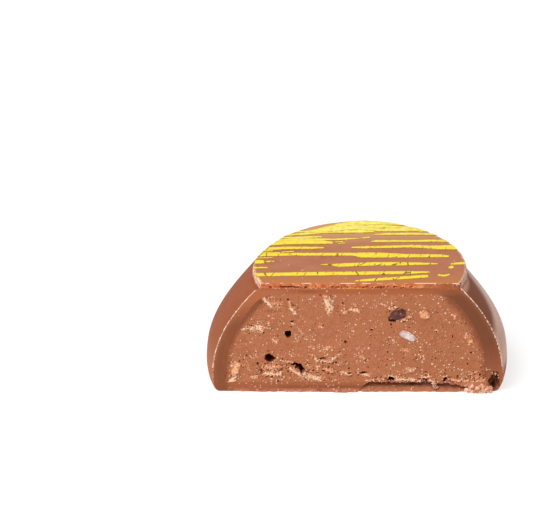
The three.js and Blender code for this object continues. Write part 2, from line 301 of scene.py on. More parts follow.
@dataclass(frozen=True)
class Form:
    """The chocolate's driving sizes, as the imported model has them."""

    cut_offset: float = 4.8
    belly_radius: float = 17.0
    belly_height: float = 2.0
    foot_radius: float = 16.2
    foot_bulge: float = 0.45
    foot_rounding: float = 0.6
    neck_radius: float = 12.45
    neck_height: float = 12.6
    dome_power: float = 2.08
    wall: float = 1.5
    base: float = 1.15
    top: float = 0.5
    filling_shift: float = -0.3
    filling_rounding: float = 1.1
    disc_thickness: float = 0.7
    disc_top_radius: float = 11.95
    disc_under_radius: float = 12.03
    disc_shift: float = 0.15
    disc_seam_height: float = 12.96
    disc_lift: float = 0.1
    strip_start: float = 0.2
    strip_end: float = 12.4
    strip_depth: float = 0.9

    @property
    def disc_top(self) -> float:
        """Return the height of the disc's upper face."""
        return self.neck_height + self.disc_lift + self.disc_thickness

    @property
    def filling_top(self) -> float:
        """Return the height of the filling's upper face."""
        return self.neck_height - self.top

    @property
    def disc_half_width(self) -> float:
        """Return half the width of the disc's upper face at the cut."""
        return math.sqrt(self.disc_top_radius**2 - self.cut_offset**2)

    def rise(self, z: Array) -> Array:
        """Return how far up the dome heights are, from the belly, next to 0, to the neck, 1."""
        return np.clip((z - self.belly_height) / (self.neck_height - self.belly_height), 1e-6, 1)

    def coat_radius(self, z: Array) -> Array:
        """Return the coat's radius at heights above the belly."""
        return self.belly_radius - (self.belly_radius - self.neck_radius) * self.rise(z) ** self.dome_power

    def coat_half_width(self, z: Array) -> Array:
        """Return half the width of the coat's cut face at heights."""
        return np.sqrt(self.coat_radius(z) ** 2 - self.cut_offset**2)

    def dome_tilt(self, z: Array) -> Array:
        """Return how far the dome leans in at heights, as a slope: 0 where it stands upright."""
        fall = self.belly_radius - self.neck_radius
        return fall * self.dome_power * self.rise(z) ** (self.dome_power - 1) / (self.neck_height - self.belly_height)

    def depth_in_coat(self, x: Array, z: Array) -> Array:
        """Return how far places on the cut lie inside the chocolate's outline, in millimetres."""
        half = self.coat_half_width(z)
        slope = self.dome_tilt(z) * self.coat_radius(z) / half
        return (half - np.abs(x)) / np.sqrt(1 + slope**2)

    def filling_depths(self, x: Array, z: Array) -> tuple[Array, Array]:
        """Return how far places on the cut lie inside the filling's sides, and under its top."""
        return self.depth_in_coat(x - self.filling_shift, z) - self.wall, self.filling_top - z

    def depth_in_filling(self, x: Array, z: Array) -> Array:
        """Return how far places on the cut lie inside the filling's rounded border."""
        side, top = self.filling_depths(x, z)
        corner = 0.45 * np.clip(1 - np.minimum(side, top) / 1.2, 0, 1) * np.clip(1 - np.abs(side - top) / 1.6, 0, 1)
        return np.minimum(side, top) - corner


FORM = Form()
CUT_Y = -FORM.cut_offset


@dataclass(frozen=True)
class Flake:
    """A pale flaky or crumbly place on the filling's cut face, along a short line."""

    x: float
    z: float
    end_x: float
    end_z: float
    width: float
    tone: float
    pitted: float = 0.5

    def closeness(self, x: Array, z: Array) -> Array:
        """Return how near places on the cut are to the flake's line, 1 there and 0 at its rim."""
        run_x, run_z = self.end_x - self.x, self.end_z - self.z
        length = run_x**2 + run_z**2 + 1e-6
        share = np.clip(((x - self.x) * run_x + (z - self.z) * run_z) / length, 0, 1)
        away = np.hypot(x - self.x - share * run_x, z - self.z - share * run_z)
        return 1 - away / (self.width / 2)


@dataclass(frozen=True)
class Hole:
    """An air hole in the filling's cut face: its place, its size into the cut and its tilt."""

    x: float
    z: float
    width: float
    height: float
    depth: float
    tilt: float = 0.0

    def closeness(self, x: Array, z: Array) -> Array:
        """Return how near places on the cut are to the hole's middle, 1 there and 0 at its rim."""
        tilt = math.radians(self.tilt)
        dx, dz = x - self.x, z - self.z
        along = (dx * math.cos(tilt) + dz * math.sin(tilt)) / (self.width / 2)
        across = (dz * math.cos(tilt) - dx * math.sin(tilt)) / (self.height / 2)
        return 1 - np.hypot(along, across)


FLAKES = tuple(
    Flake(*row)
    for row in (
        (-10.5, 11.5, -9.8, 10.6, 0.45, 1.0, 0.3), (-9.6, 10.95, -8.6, 10.85, 0.7, 0.25, 0.2),
        (-7.7, 11.2, -7.6, 10.4, 0.35, 0.5, 0.3), (-7.6, 10.4, -7.1, 9.7, 0.42, 1.1, 0.1),
        (-7.2, 10.5, -7.1, 10.4, 0.5, 0.2, 0.1), (-3.9, 12.0, -3.6, 11.3, 0.3, 0.5, 0.2),
        (-3.6, 11.3, -3.3, 10.4, 0.85, 0.9, 0.35), (-3.4, 10.3, -3.4, 9.8, 0.35, 0.7, 0.3),
        (-1.7, 9.95, -1.4, 9.95, 0.5, 0.5, 0.1), (-0.8, 10.2, -0.1, 10.1, 0.6, 0.55, 0.3),
        (-0.6, 10.9, -0.4, 10.7, 0.4, 0.3, 0.2), (-12.9, 7.75, -11.9, 8.0, 0.45, 0.5),
        (-12.0, 7.9, -10.9, 7.85, 0.8, 0.95, 0.4), (-10.8, 7.95, -9.9, 7.9, 0.4, 0.5),
        (-7.5, 8.6, -7.3, 8.4, 0.4, 0.6), (-10.7, 3.0, -9.0, 3.1, 1.0, 0.25, 1.0),
        (-10.4, 2.2, -8.8, 2.15, 0.6, 0.8, 0.6), (-9.7, 2.6, -9.2, 2.7, 0.4, 0.7, 0.9),
        (-8.5, 3.8, -7.4, 3.6, 0.4, 0.3, 0.8), (-7.6, 2.9, -6.4, 1.9, 0.45, 0.7, 0.6),
        (-5.6, 3.3, -5.2, 2.5, 0.5, 0.35, 0.8), (-5.9, 2.0, -4.4, 1.5, 0.9, 0.75, 0.6),
        (-5.2, 4.5, -4.7, 4.0, 0.35, 0.8, 0.6), (-4.7, 3.85, -3.0, 3.7, 0.45, 0.7, 0.9),
        (-3.0, 3.9, -2.0, 4.7, 0.4, 0.6, 0.9), (-3.9, 2.9, -2.8, 2.4, 0.6, 0.25, 0.9),
        (-2.0, 2.5, -0.9, 2.1, 0.4, 0.7, 0.9), (0.0, 2.3, 1.2, 2.0, 0.45, 0.6, 0.8),
        (-3.6, 5.4, -3.2, 5.4, 0.7, 0.3, 0.2), (-5.4, 5.5, -5.1, 5.4, 0.5, 0.45, 0.1),
        (-4.4, 8.1, -4.1, 8.0, 0.5, 0.35, 0.2), (-9.6, 6.5, -9.2, 6.2, 0.5, 0.4, 0.2),
        (0.3, 4.3, 0.6, 4.1, 0.55, 0.5, 0.4), (2.5, 10.9, 3.0, 10.7, 0.3, 0.6),
        (3.4, 10.3, 4.4, 10.5, 0.4, 0.3, 0.8), (4.9, 8.9, 5.8, 9.3, 0.45, 0.5, 0.8),
        (10.6, 9.5, 10.7, 9.3, 0.4, 0.6), (8.7, 7.6, 8.8, 7.5, 0.45, 0.45, 0.7),
        (7.0, 4.3, 7.2, 4.0, 0.55, 0.5, 0.8), (5.0, 5.2, 5.5, 5.1, 0.5, 0.35, 0.5),
        (5.4, 2.8, 6.2, 2.6, 0.5, 0.6, 0.4), (11.9, 7.0, 12.5, 6.5, 0.6, 0.05, 0.1),
        (-14.3, 1.2, -13.7, 1.9, 0.6, 0.9, 0.6), (-14.2, 3.2, -13.9, 3.3, 0.4, 0.8, 0.5),
        (-11.9, 1.8, -11.5, 1.8, 0.45, 0.8), (7.9, 2.2, 7.95, 1.7, 0.35, 0.2, 0.2),
        (12.6, 2.2, 13.4, 2.5, 0.35, 0.1, 0.9), (13.2, 1.9, 14.2, 1.4, 0.6, 0.2, 1.0),
        (0.9, 1.35, 2.9, 1.5, 0.4, 0.1, 0.9), (2.9, 1.95, 4.3, 1.9, 0.3, 0.35, 0.7),
        (4.4, 1.5, 6.4, 1.45, 0.55, 0.8, 0.6), (6.8, 1.75, 8.1, 1.7, 0.4, 0.15, 0.9),
        (8.0, 1.4, 8.5, 1.25, 0.45, 0.8, 0.5), (9.4, 1.85, 9.9, 1.85, 0.3, 0.6, 0.7),
        (10.2, 1.45, 12.2, 1.3, 0.6, 0.15, 0.9), (12.4, 1.3, 14.2, 1.2, 0.7, 0.15, 0.9),
    )
)

AIR_HOLES = tuple(
    Hole(*row)
    for row in (
        (-7.92, 7.08, 0.8, 1.05, 1.2), (-9.95, 4.12, 0.98, 1.2, 1.4), (-9.5, 4.05, 0.6, 0.4, 0.9, -20),
        (-12.1, 8.25, 0.6, 0.2, 0.5, 15), (-7.5, 8.7, 0.45, 0.28, 0.6, 35), (-8.8, 8.7, 0.2, 0.18, 0.4),
        (-11.3, 3.5, 0.3, 0.26, 0.5), (-7.25, 3.35, 0.9, 0.38, 1.0, -12), (-6.8, 3.1, 1.0, 0.5, 1.4, -38),
        (-6.35, 2.7, 0.6, 1.1, 1.6, -15), (-1.45, 6.15, 0.36, 0.45, 0.3), (-4.1, 4.1, 1.0, 0.22, 0.6, -14),
        (-0.95, 2.25, 0.45, 0.25, 0.5, -10), (0.6, 2.3, 0.9, 0.35, 0.8, -5), (-3.9, 2.6, 0.35, 0.22, 0.4, 30),
        (8.7, 7.5, 0.2, 0.2, 0.4), (7.05, 4.15, 0.28, 0.2, 0.4, 60), (10.5, 6.85, 0.12, 0.35, 0.4),
        (3.7, 1.5, 0.9, 0.75, 0.7), (5.4, 1.15, 0.8, 0.3, 0.6, 10), (7.45, 1.3, 0.7, 0.6, 0.8),
        (9.75, 1.45, 0.65, 0.6, 0.8, -10), (3.75, 8.85, 0.95, 0.5, 0.4, 20), (3.45, 10.0, 0.25, 0.2, 0.3),
    )
)


class Relief:
    """Depths that the knife left on the cut faces, in millimetres behind the cut."""

    @staticmethod
    def lattice(i: Array, j: Array, k: Array) -> Array:
        """Return a fixed number from -1 to 1 for each lattice point."""
        wave = np.sin(i * 127.1 + j * 311.7 + k * 74.7) * 43758.5453
        return 2 * (wave - np.floor(wave)) - 1

    @classmethod
    def noise(cls, x: Array, y: float, z: Array) -> Array:
        """Return smooth noise from -1 to 1, with lumps about one unit across."""
        i, j, k = np.floor(x), math.floor(y), np.floor(z)
        u, v, w = ((t * t * (3 - 2 * t)) for t in (x - i, y - j, z - k))

        def edge(dj: int, dk: int) -> Array:
            """Return the noise along one edge of the lattice cell."""
            near = cls.lattice(i, j + dj, k + dk)
            return near + (cls.lattice(i + 1, j + dj, k + dk) - near) * u

        low = edge(0, 0) + (edge(1, 0) - edge(0, 0)) * v
        high = edge(0, 1) + (edge(1, 1) - edge(0, 1)) * v
        return low + (high - low) * w

    @classmethod
    def grain(cls, layers: tuple[tuple[float, float], ...], x: Array, z: Array) -> Array:
        """Return lumps of each layer's size and depth, added up."""
        return sum(
            depth * cls.noise(x / size, 3.5 + 2 * i, z / size) for i, (size, depth) in enumerate(layers)
        )

    @classmethod
    def near_flakes(cls, x: Array, z: Array) -> tuple[Array, Array, Array]:
        """Find the nearest flake for each place.

        Args:
            x: Places across.
            z: Heights.

        Returns:
            How near it is, 1 on its line and 0 at its rim, its tone, and how pitted it is.
        """
        near = np.array([flake.closeness(x, z) for flake in FLAKES])
        best = np.argmax(near, axis=0)
        tones = np.array([flake.tone for flake in FLAKES])
        pitted = np.array([flake.pitted for flake in FLAKES])
        return np.max(near, axis=0), tones[best], pitted[best]

    @classmethod
    def flaky(cls, x: Array, z: Array) -> Array:
        """Return how pale and flaky the filling is at each place, 0 to 1, with ragged rims."""
        near, _, _ = cls.near_flakes(x, z)
        ragged = 0.6 * cls.noise(x / 0.3, 2, z / 0.26) + 0.75 * cls.noise(x / 0.13, 5, z / 0.12)
        return np.clip((near * 1.15 + ragged - 0.3) / 0.75, 0, 1) * (near > -0.5)

    @classmethod
    def pitted(cls, x: Array, z: Array) -> Array:
        """Return how deep each place lies in one of the small pits among the flakes, 0 to 1."""
        near, _, pitted = cls.near_flakes(x, z)
        around = np.clip(1.2 - np.abs(near - 0.1) / 0.8, 0, 1) * pitted
        coarse = 0.8 * cls.noise(x / 0.21, 14, z / 0.17) + 0.7 * cls.noise(x / 0.12, 15, z / 0.11)
        among = np.clip((coarse + 0.7 * around - 0.9) / 0.3, 0, 1) * (around > 0.05)
        lone = cls.dots(x, z, 0.24, np.full_like(x, 0.012), 21)
        return np.maximum(among, 0.8 * lone)

    @classmethod
    def dots(cls, x: Array, z: Array, cell: float, chance: Array, seed: int) -> Array:
        """Return round dots, one at most in each cell, 1 in their middle and 0 outside.

        Args:
            x: Places across.
            z: Heights.
            cell: The cells' size.
            chance: How likely a cell near each point holds a dot, 0 to 1.
            seed: Picks another set of dots.

        Returns:
            The dots' strength at each point.
        """
        column, row = np.floor(x / cell), np.floor(z / cell)
        best = np.zeros_like(x)
        for di in (-1, 0, 1):
            for dk in (-1, 0, 1):
                i, k = column + di, row + dk
                draw = [0.5 + 0.5 * cls.lattice(i, seed + n, k) for n in range(4)]
                away = np.hypot(x / cell - i - draw[0], z / cell - k - draw[1])
                dot = np.clip(1.6 - away / (0.2 + 0.25 * draw[2]) * 1.6, 0, 1)
                best = np.maximum(best, np.where(draw[3] < chance, dot, 0))
        return best

    @classmethod
    def filling(cls, x: Array, z: Array) -> Array:
        """Return the filling's depths: grainy all over, flaky and pitted in places."""
        inner = np.clip(FORM.depth_in_filling(x, z) / 0.5, 0, 1) * np.clip((z - FORM.base) / 0.4, 0, 1)
        base = cls.coat(x, z) + inner * cls.grain(((0.9, 0.04), (0.33, 0.03)), x, z)
        cluster = np.clip(cls.noise(x / 1.1, 7, z / 1.1) + 0.2, 0, 1)
        bits = cls.dots(x, z, 0.3, 0.05 + 0.4 * cluster, 31)
        dent = 0.25 * np.clip(1 - np.hypot((x + 9.5) / 1.1, (z - 9.9) / 0.32), 0, 1)
        return base + dent - 0.06 * bits - 0.07 * cls.flaky(x, z) + 0.18 * cls.pitted(x, z)

    @classmethod
    def coat(cls, x: Array, z: Array) -> Array:
        """Return the coat's depths: smooth, with the knife's slight waves and a smeared foot."""
        waves = cls.grain(((2.2, 0.04),), x, z) + 0.008 * cls.noise(x / 0.3, 8, z / 0.3)
        smear = np.interp(x, (-14.0, -12.0, -6.0, -1.2, 0.3, 12.0, 14.0), (0.0, 0.12, 0.25, 0.4, 0.2, 0.2, 0.0))
        smear = smear + 0.08 * cls.noise(x / 0.5, 18, 0 * x) * (smear > 0)
        return waves - smear * np.clip(1 - z / 0.3, 0, 1) ** 1.5

    @classmethod
    def seam(cls, x: Array, z: Array, height: float) -> Array:
        """Return where the disc's cut is torn open along its broken seam, 0 to 1."""
        sway = height + 0.05 * cls.noise(x / 0.7, 4, 0 * x) + 0.04 * cls.noise(x / 0.2, 6, 0 * x)
        line = np.clip(1.6 - np.abs(z - sway) / 0.07, 0, 1)
        torn = ((-7.6, 2.4, 0.85), (-1.9, 1.4, 0.8), (1.8, 1.4, 0.75), (5.3, 1.6, 0.6), (9.0, 1.2, 0.2))
        strength = sum(share * np.exp(-(((x - middle) / reach) ** 2)) for middle, reach, share in torn)
        broken = 0.8 * cls.noise(x / 0.3, 13, z / 0.3) + 0.8 * cls.noise(x / 0.13, 16, z / 0.16)
        return line * np.clip((broken + 1.3 * strength - 0.7) / 0.3, 0, 1)

    @classmethod
    def disc(cls, x: Array, z: Array) -> Array:
        """Return the disc's depths: ragged above its seam, smooth below it."""
        height = FORM.disc_seam_height
        upper = np.clip((z - height + 0.1) / 0.1, 0, 1)
        ragged = 0.05 * cls.noise(x / 0.35, 11, z / 0.2) + 0.035 * cls.noise(x / 0.16, 12, z / 0.14)
        return cls.coat(x, z) + ragged * upper + 0.3 * cls.seam(x, z, height)


# ---------------------------------------------------------------- solids


def plain_mesh(name: str, points: Array, faces: list[list[int]]) -> Mesh:
    """Make a mesh from points, one row each, and faces, each its points in order."""
    made = bpy.data.meshes.new(name)
    made.from_pydata(points.tolist(), [], faces)
    made.update()
    return made


def line_mesh(points: list[Triple]) -> Mesh:
    """Make a line from point to point."""
    line = bpy.data.meshes.new("line")
    line.from_pydata(points, [(i, i + 1) for i in range(len(points) - 1)], [])
    return line


def mesh_of(shape: bmesh.types.BMesh, name: str) -> Mesh:
    """Turn a shape that is being edited into a mesh, and free it."""
    made = bpy.data.meshes.new(name)
    shape.to_mesh(made)
    shape.free()
    return made


def points_of(mesh: Mesh) -> Array:
    """Return a mesh's points, one row each."""
    flat = np.empty(3 * len(mesh.vertices))
    mesh.vertices.foreach_get("co", flat)
    return flat.reshape(-1, 3)


def move_points(mesh: Mesh, points: Array) -> None:
    """Put a mesh's points at new places."""
    mesh.vertices.foreach_set("co", points.ravel())
    mesh.update()


def store_values(mesh: Mesh, name: str, values: Array) -> None:
    """Keep one number for each of a mesh's points, for its material to read."""
    mesh.attributes.new(name, "FLOAT", "POINT").data.foreach_set("value", values)


class Cut(Enum):
    """What a boolean does."""

    KEEP_INSIDE = "INTERSECT"
    TAKE_AWAY = "DIFFERENCE"


def carve(body: Mesh, steps: list[tuple[Cut, Mesh]]) -> Mesh:
    """Cut a solid by others, one after another.

    Args:
        body: The solid to cut.
        steps: What each other solid does, in order.

    Returns:
        The cut solid.
    """
    links = bpy.context.scene.collection.objects
    made = bpy.data.objects.new("body", body)
    tools = [bpy.data.objects.new("tool", mesh) for _, mesh in steps]
    for piece in (made, *tools):
        links.link(piece)
    for (cut, _), tool in zip(steps, tools):
        modifier = made.modifiers.new("cut", "BOOLEAN")
        modifier.operation = cut.value
        modifier.object = tool
        modifier.solver = "MANIFOLD"
    result = evaluated_mesh(made)
    for piece in (made, *tools):
        bpy.data.objects.remove(piece)
    return result


def knife_block(cell: float, low: float, high: float, reach: float, relief: DepthRule) -> Mesh:
    """Make what the knife leaves standing: a block whose front is the cut, with a relief on it.

    Args:
        cell: The size of the front's faces.
        low: The front's lowest height.
        high: The front's highest height.
        reach: Half the front's width.
        relief: Gives the depths behind the cut from places across and heights.

    Returns:
        The block, closed.
    """
    columns = round(2 * reach / cell) + 1
    rows = round((high - low) / cell) + 1
    z, x = np.meshgrid(np.linspace(low, high, rows), np.linspace(-reach, reach, columns), indexing="ij")
    depth = relief(x, z)
    depth[[0, -1], :] = 0
    depth[:, [0, -1]] = 0
    front = np.column_stack([x.ravel(), depth.ravel() + CUT_Y, z.ravel()])
    back_y = 2 * FORM.belly_radius
    back = np.array([[side * reach, back_y, level] for level in (low, high) for side in (-1, 1)])
    at = np.arange(rows * columns).reshape(rows, columns)
    first = len(front)
    cells = np.stack([at[:-1, :-1], at[:-1, 1:], at[1:, 1:], at[1:, :-1]], axis=-1).reshape(-1, 4)
    walls = [
        [*at[0, ::-1].tolist(), first, first + 1],
        [*at[-1, :].tolist(), first + 3, first + 2],
        [*at[:, 0].tolist(), first + 2, first],
        [*at[::-1, -1].tolist(), first + 1, first + 3],
        [first + 1, first, first + 2, first + 3],
    ]
    return plain_mesh("knife_block", np.vstack([front, back]), cells.tolist() + walls)


class TurnedBody:
    """A round solid on a vertical axis whose side follows the chocolate's formula."""

    # How often each swell of the dipped coat goes round, its share of the radius, and where it stands.
    swells = ((2, 0.007, 35), (3, 0.006, 40))

    def __init__(self) -> None:
        """Build the tree once for all bodies."""
        self.sheet = NodeSheet.group(
            "turned_body",
            TreeKind.GEOMETRY,
            round_steps=320,
            height_steps=90,
            low=0.0,
            high=FORM.neck_height,
            belly_radius=FORM.belly_radius,
            belly_height=FORM.belly_height,
            neck_radius=FORM.neck_radius,
            neck_height=FORM.neck_height,
            dome_power=FORM.dome_power,
            foot_narrowing=FORM.belly_radius - FORM.foot_radius - FORM.foot_bulge,
            foot_bulge=FORM.foot_bulge,
            foot_rounding=FORM.foot_rounding,
            wall=0.0,
            top_rounding=0.0,
            shift=0.0,
            dipped_waves=0.0,
            pressed_rim=0.0,
            ragged_rim=0.0,
            material=SocketKind.MATERIAL,
        )
        self._build()

    def _side(self, z: Wire) -> Wire:
        """Return the side's radius at a height: foot, belly, dome and rounded top edge."""
        s, given = self.sheet, self.sheet.given
        climb = given.neck_height - given.belly_height
        rise = s.math("DIVIDE", z - given.belly_height, climb, clamp=True)
        dome = (given.belly_radius - given.neck_radius) * rise**given.dome_power
        drop = s.math("SUBTRACT", 1.0, z / given.belly_height, clamp=True)
        narrowing = given.foot_narrowing * (drop * drop)
        foot = given.foot_bulge * self._corner(z / given.foot_rounding)
        top = given.top_rounding * self._corner((given.high - z) / given.top_rounding)
        return given.belly_radius - (dome + ((given.wall + top) + (narrowing + foot)))

    def _corner(self, share: Wire) -> Wire:
        """Return how far a round corner is drawn in: 1 at its end, 0 from a share of 1 on."""
        left = self.sheet.math("SUBTRACT", 1.0, share.min(1.0), clamp=True)
        return 1.0 - (1.0 - left * left).root()

    def _build(self) -> None:
        """Wire the tree: a cylinder whose points move to the formula's places."""
        s, given = self.sheet, self.sheet.given
        steps = {"Vertices": given.round_steps, "Side Segments": given.height_steps, "Fill Segments": 8}
        size = {"Radius": 1.0, "Depth": 1.0}
        blank = s.add("GeometryNodeMeshCylinder", steps | size, fill_type="TRIANGLE_FAN")
        x, y, level = s.parts(s.position())
        share = s.math("ADD", level, 0.5, clamp=True) ** 1.25
        z = given.low + share * (given.high - given.low)
        bearing = s.math("ARCTAN2", y, x)
        rim = rim_change(s, bearing, given.pressed_rim, given.ragged_rim)
        radius = self._side(z) * self._dipped(bearing, z) + rim
        place = s.xyz(x * radius + given.shift, y * radius, z)
        s.end_geometry(s.add("GeometryNodeSetPosition", {"Geometry": blank, "Position": place}))

    def _dipped(self, bearing: Wire, z: Wire) -> Wire:
        """Return the hand-dipped unevenness as a share of the radius."""
        s = self.sheet
        swells = [
            share * bearing.affine(count, -count * math.radians(towards)).cosine()
            for count, share, towards in self.swells
        ]
        wavy = s.math("ADD", *swells) * s.span(z, 6.0, 12.0, 1.0, 0.0)
        behind = s.span(bearing.sine(), -0.38, 0.12)
        fallen = behind * s.span(z, 4.0, 12.0, 0.0, 0.045)
        return (wavy - fallen).affine(s.given.dipped_waves, 1.0)

    def mesh(self, **values: Value) -> Mesh:
        """Return a turned solid; the values are the tree's inputs."""
        return run_geometry_tree(self.sheet.tree, **values)

    def filling(self, grown: float) -> Mesh:
        """Return the uncut filling, grown by a margin on every side."""
        return self.mesh(
            low=FORM.base - grown,
            high=FORM.filling_top + grown,
            wall=FORM.wall - grown,
            top_rounding=FORM.filling_rounding,
            shift=FORM.filling_shift,
        )


# The bearings on which the disc's rim is pressed flatter, their spreads, and their shares of the depth.
PRESSED_PLACES = ((125, 26, 1.0), (153, 18, 1.4))


def rim_change(s: NodeSheet, bearing: Wire, pressed: Value, ragged: Value) -> Wire:
    """Return how much the disc's rim stands out on a bearing: one side is pressed flatter.

    Args:
        s: The sheet to add nodes to.
        bearing: The bearing in radians.
        pressed: The depth of the pressed side.
        ragged: The depth of the rim's raggedness.

    Returns:
        The change of the radius in millimetres.
    """
    bells = []
    for towards, spread, share in PRESSED_PLACES:
        away = (bearing - math.radians(towards)) / math.radians(spread)
        bells.append(s.math("EXPONENT", away * away * -1.0) * share)
    around = s.xyz(bearing.cosine(), bearing.sine(), 0.0)
    return (s.noise(around, 16.0, 3.0) - 0.5) * ragged - s.math("ADD", *bells) * pressed


# ---------------------------------------------------------------- finishes


class ShaderGroups:
    """Shared effects, each a node group that puts out a mask and is built when it is first used."""

    @staticmethod
    @cache
    def speckle() -> Tree:
        """Build small round specks, scattered at random; Share is how many cells hold one."""
        s = NodeSheet.group("speckle", TreeKind.SHADER, vector=SocketKind.VECTOR, size=0.2, share=0.2, variant=0.0)
        given = s.given
        moved = s.shifted(given.vector, given.variant, given.variant, 0.0)
        distance = s.add("ShaderNodeTexVoronoi", {"Vector": moved, "Scale": 1.0 / given.size}, "Distance")
        draw, size_draw, _ = s.parts(Wire(s, distance.socket.node.outputs["Color"]))
        radius = size_draw.affine(0.25, 0.25)
        dot = s.span(distance, radius * 0.75, radius, 1.0, 0.0)
        s.feed(s.result, draw.then("LESS_THAN", given.share) * dot)
        return s.tree

    @staticmethod
    @cache
    def mottle() -> Tree:
        """Build soft clouds, from 0 to 1; Contrast makes their edges harder."""
        s = NodeSheet.group("mottle", TreeKind.SHADER, vector=SocketKind.VECTOR, size=1.0, contrast=1.0, variant=0.0)
        given = s.given
        cloud = s.noise(s.shifted(given.vector, given.variant, 0.0, given.variant), 1.0 / given.size, 4.0)
        steeper = (cloud - 0.5) * given.contrast
        s.feed(s.result, s.math("MULTIPLY_ADD", steeper, 2.0, 0.5, clamp=True))
        return s.tree

    @staticmethod
    @cache
    def ripple() -> Tree:
        """Build fine drag lines that run up the cut; Stretch draws them out."""
        s = NodeSheet.group("ripple", TreeKind.SHADER, vector=SocketKind.VECTOR, size=0.4, stretch=8.0)
        x, y, z = s.parts(s.given.vector)
        s.feed(s.result, s.noise(s.xyz(x, y, z / s.given.stretch), 1.0 / s.given.size, 3.0))
        return s.tree


class Paint(NodeSheet):
    """One material: its sheet, its place in millimetres, its colour so far and its shader."""

    def __init__(self, name: str, roughness: float, **settings: float | Color) -> None:
        """Start a material.

        Args:
            name: The material's name.
            roughness: The shader's roughness.
            **settings: Other values of the shader's own sockets, underscores for spaces.
        """
        self.material = bpy.data.materials.new(name)
        self.material.use_nodes = True
        super().__init__(self.material.node_tree)
        self.shader = self.tree.nodes["Principled BSDF"]
        for key, value in {"roughness": roughness, **settings}.items():
            self.feed(self.shader.inputs[socket_name(key)], value)

    @cached_property
    def place(self) -> Wire:
        """Return the place in millimetres."""
        return self.scaled(self.add("ShaderNodeTexCoord", output="Object"), 1 / MM)

    @cached_property
    def axes(self) -> list[Wire]:
        """Return the place's three values."""
        return self.parts(self.place)

    def mask(self, tree: Tree, **values: Value) -> Wire:
        """Return a shared effect's mask on this material."""
        inputs = {"Vector": self.place} | {socket_name(key): value for key, value in values.items()}
        return self.add("ShaderNodeGroup", inputs, "Mask", node_tree=tree)

    def mottle(self, size: float, contrast: float, variant: float = 0.0) -> Wire:
        """Return soft clouds, from 0 to 1."""
        return self.mask(ShaderGroups.mottle(), size=size, contrast=contrast, variant=variant)

    def speckle(self, size: float, share: Value, variant: float = 0.0) -> Wire:
        """Return small round specks, 1 in their middle."""
        return self.mask(ShaderGroups.speckle(), size=size, share=share, variant=variant)

    def stored(self, name: str) -> Wire:
        """Return the number that the mesh keeps under a name."""
        return self.add("ShaderNodeAttribute", output="Fac", attribute_name=name)

    def start(self, share: Value, first: Value, second: Value) -> None:
        """Start with a colour between two, by a share."""
        self.color = self.blend(share, first, second)

    def lay(self, color: Value, share: Value) -> None:
        """Lay a colour over the one so far, by a share."""
        self.color = self.blend(share, self.color, color)

    def finish(self, height: Value, strength: float, depth: float) -> Material:
        """Wire the colour and the bump, and return the material.

        Args:
            height: The bump's height, 0 to 1.
            strength: The bump's strength.
            depth: The bump's depth in millimetres.

        Returns:
            The finished material.
        """
        bump = self.add("ShaderNodeBump", {"Height": height, "Strength": strength, "Distance": depth * MM})
        self.feed(self.shader.inputs["Base Color"], self.color)
        self.feed(self.shader.inputs["Normal"], bump)
        return self.material


@dataclass(frozen=True)
class CoatFinish:
    """Milk chocolate as it set: satin on the left and glossier round the right, with painted shade on the right side
    and a painted sheen near the right outline and shoulder.
    """

    plain: Color = srgb(192, 118, 80)
    deep: Color = srgb(180, 108, 70)
    upper: Color = srgb(148, 80, 50)
    pale: Color = srgb(186, 118, 90)
    shaded: Color = srgb(144, 86, 60)
    foot: Color = srgb(170, 92, 62)
    bloom: Color = srgb(242, 190, 168)
    chipped: Color = srgb(244, 196, 160)

    def build(self) -> Material:
        """Return the coat's outside material."""
        p = Paint("milk_chocolate_outside", 0.6, specular_ior_level=0.05, coat_roughness=0.2)
        x, _, z = p.axes
        p.start(p.mottle(5.0, 1.2), self.deep, self.plain)
        p.lay(self.upper, p.span(z, 1.0, 7.0, 0.0, 0.85))
        p.lay(self.pale, p.mottle(1.6, 1.2, 7.0) * 0.15)
        # Painted shade: darker towards the right side.
        p.lay(self.shaded, p.span(x, 3.0, 10.0, 0.0, 0.95))
        p.lay(self.foot, p.span(z, 2.0, 3.5, 1.0, 0.0) * p.span(x, 5.0, 10.0))
        # Painted sheen: a pale colour on the band near the right outline, where the coat is also glossier.
        sheen = p.stored("sheen")
        drawn = p.mottle(2.2, 1.0, 15.0).affine(0.3, 0.65)
        p.lay(self.bloom, sheen * (drawn * p.span(z, 4.0, 8.5, 0.74, 1.0)))
        # Painted highlight on the right shoulder next to the disc.
        p.lay(self.bloom, p.span(z, 12.0, 12.5) * p.span(x, 9.0, 12.0, 0.0, 0.5))
        p.lay(self.chipped, p.stored("edge") * p.mottle(0.3, 2.0))
        p.feed(p.shader.inputs["Coat Weight"], sheen * 0.25)
        return p.finish(p.noise(p.place, 0.9, 3.0), 0.1, 0.3)


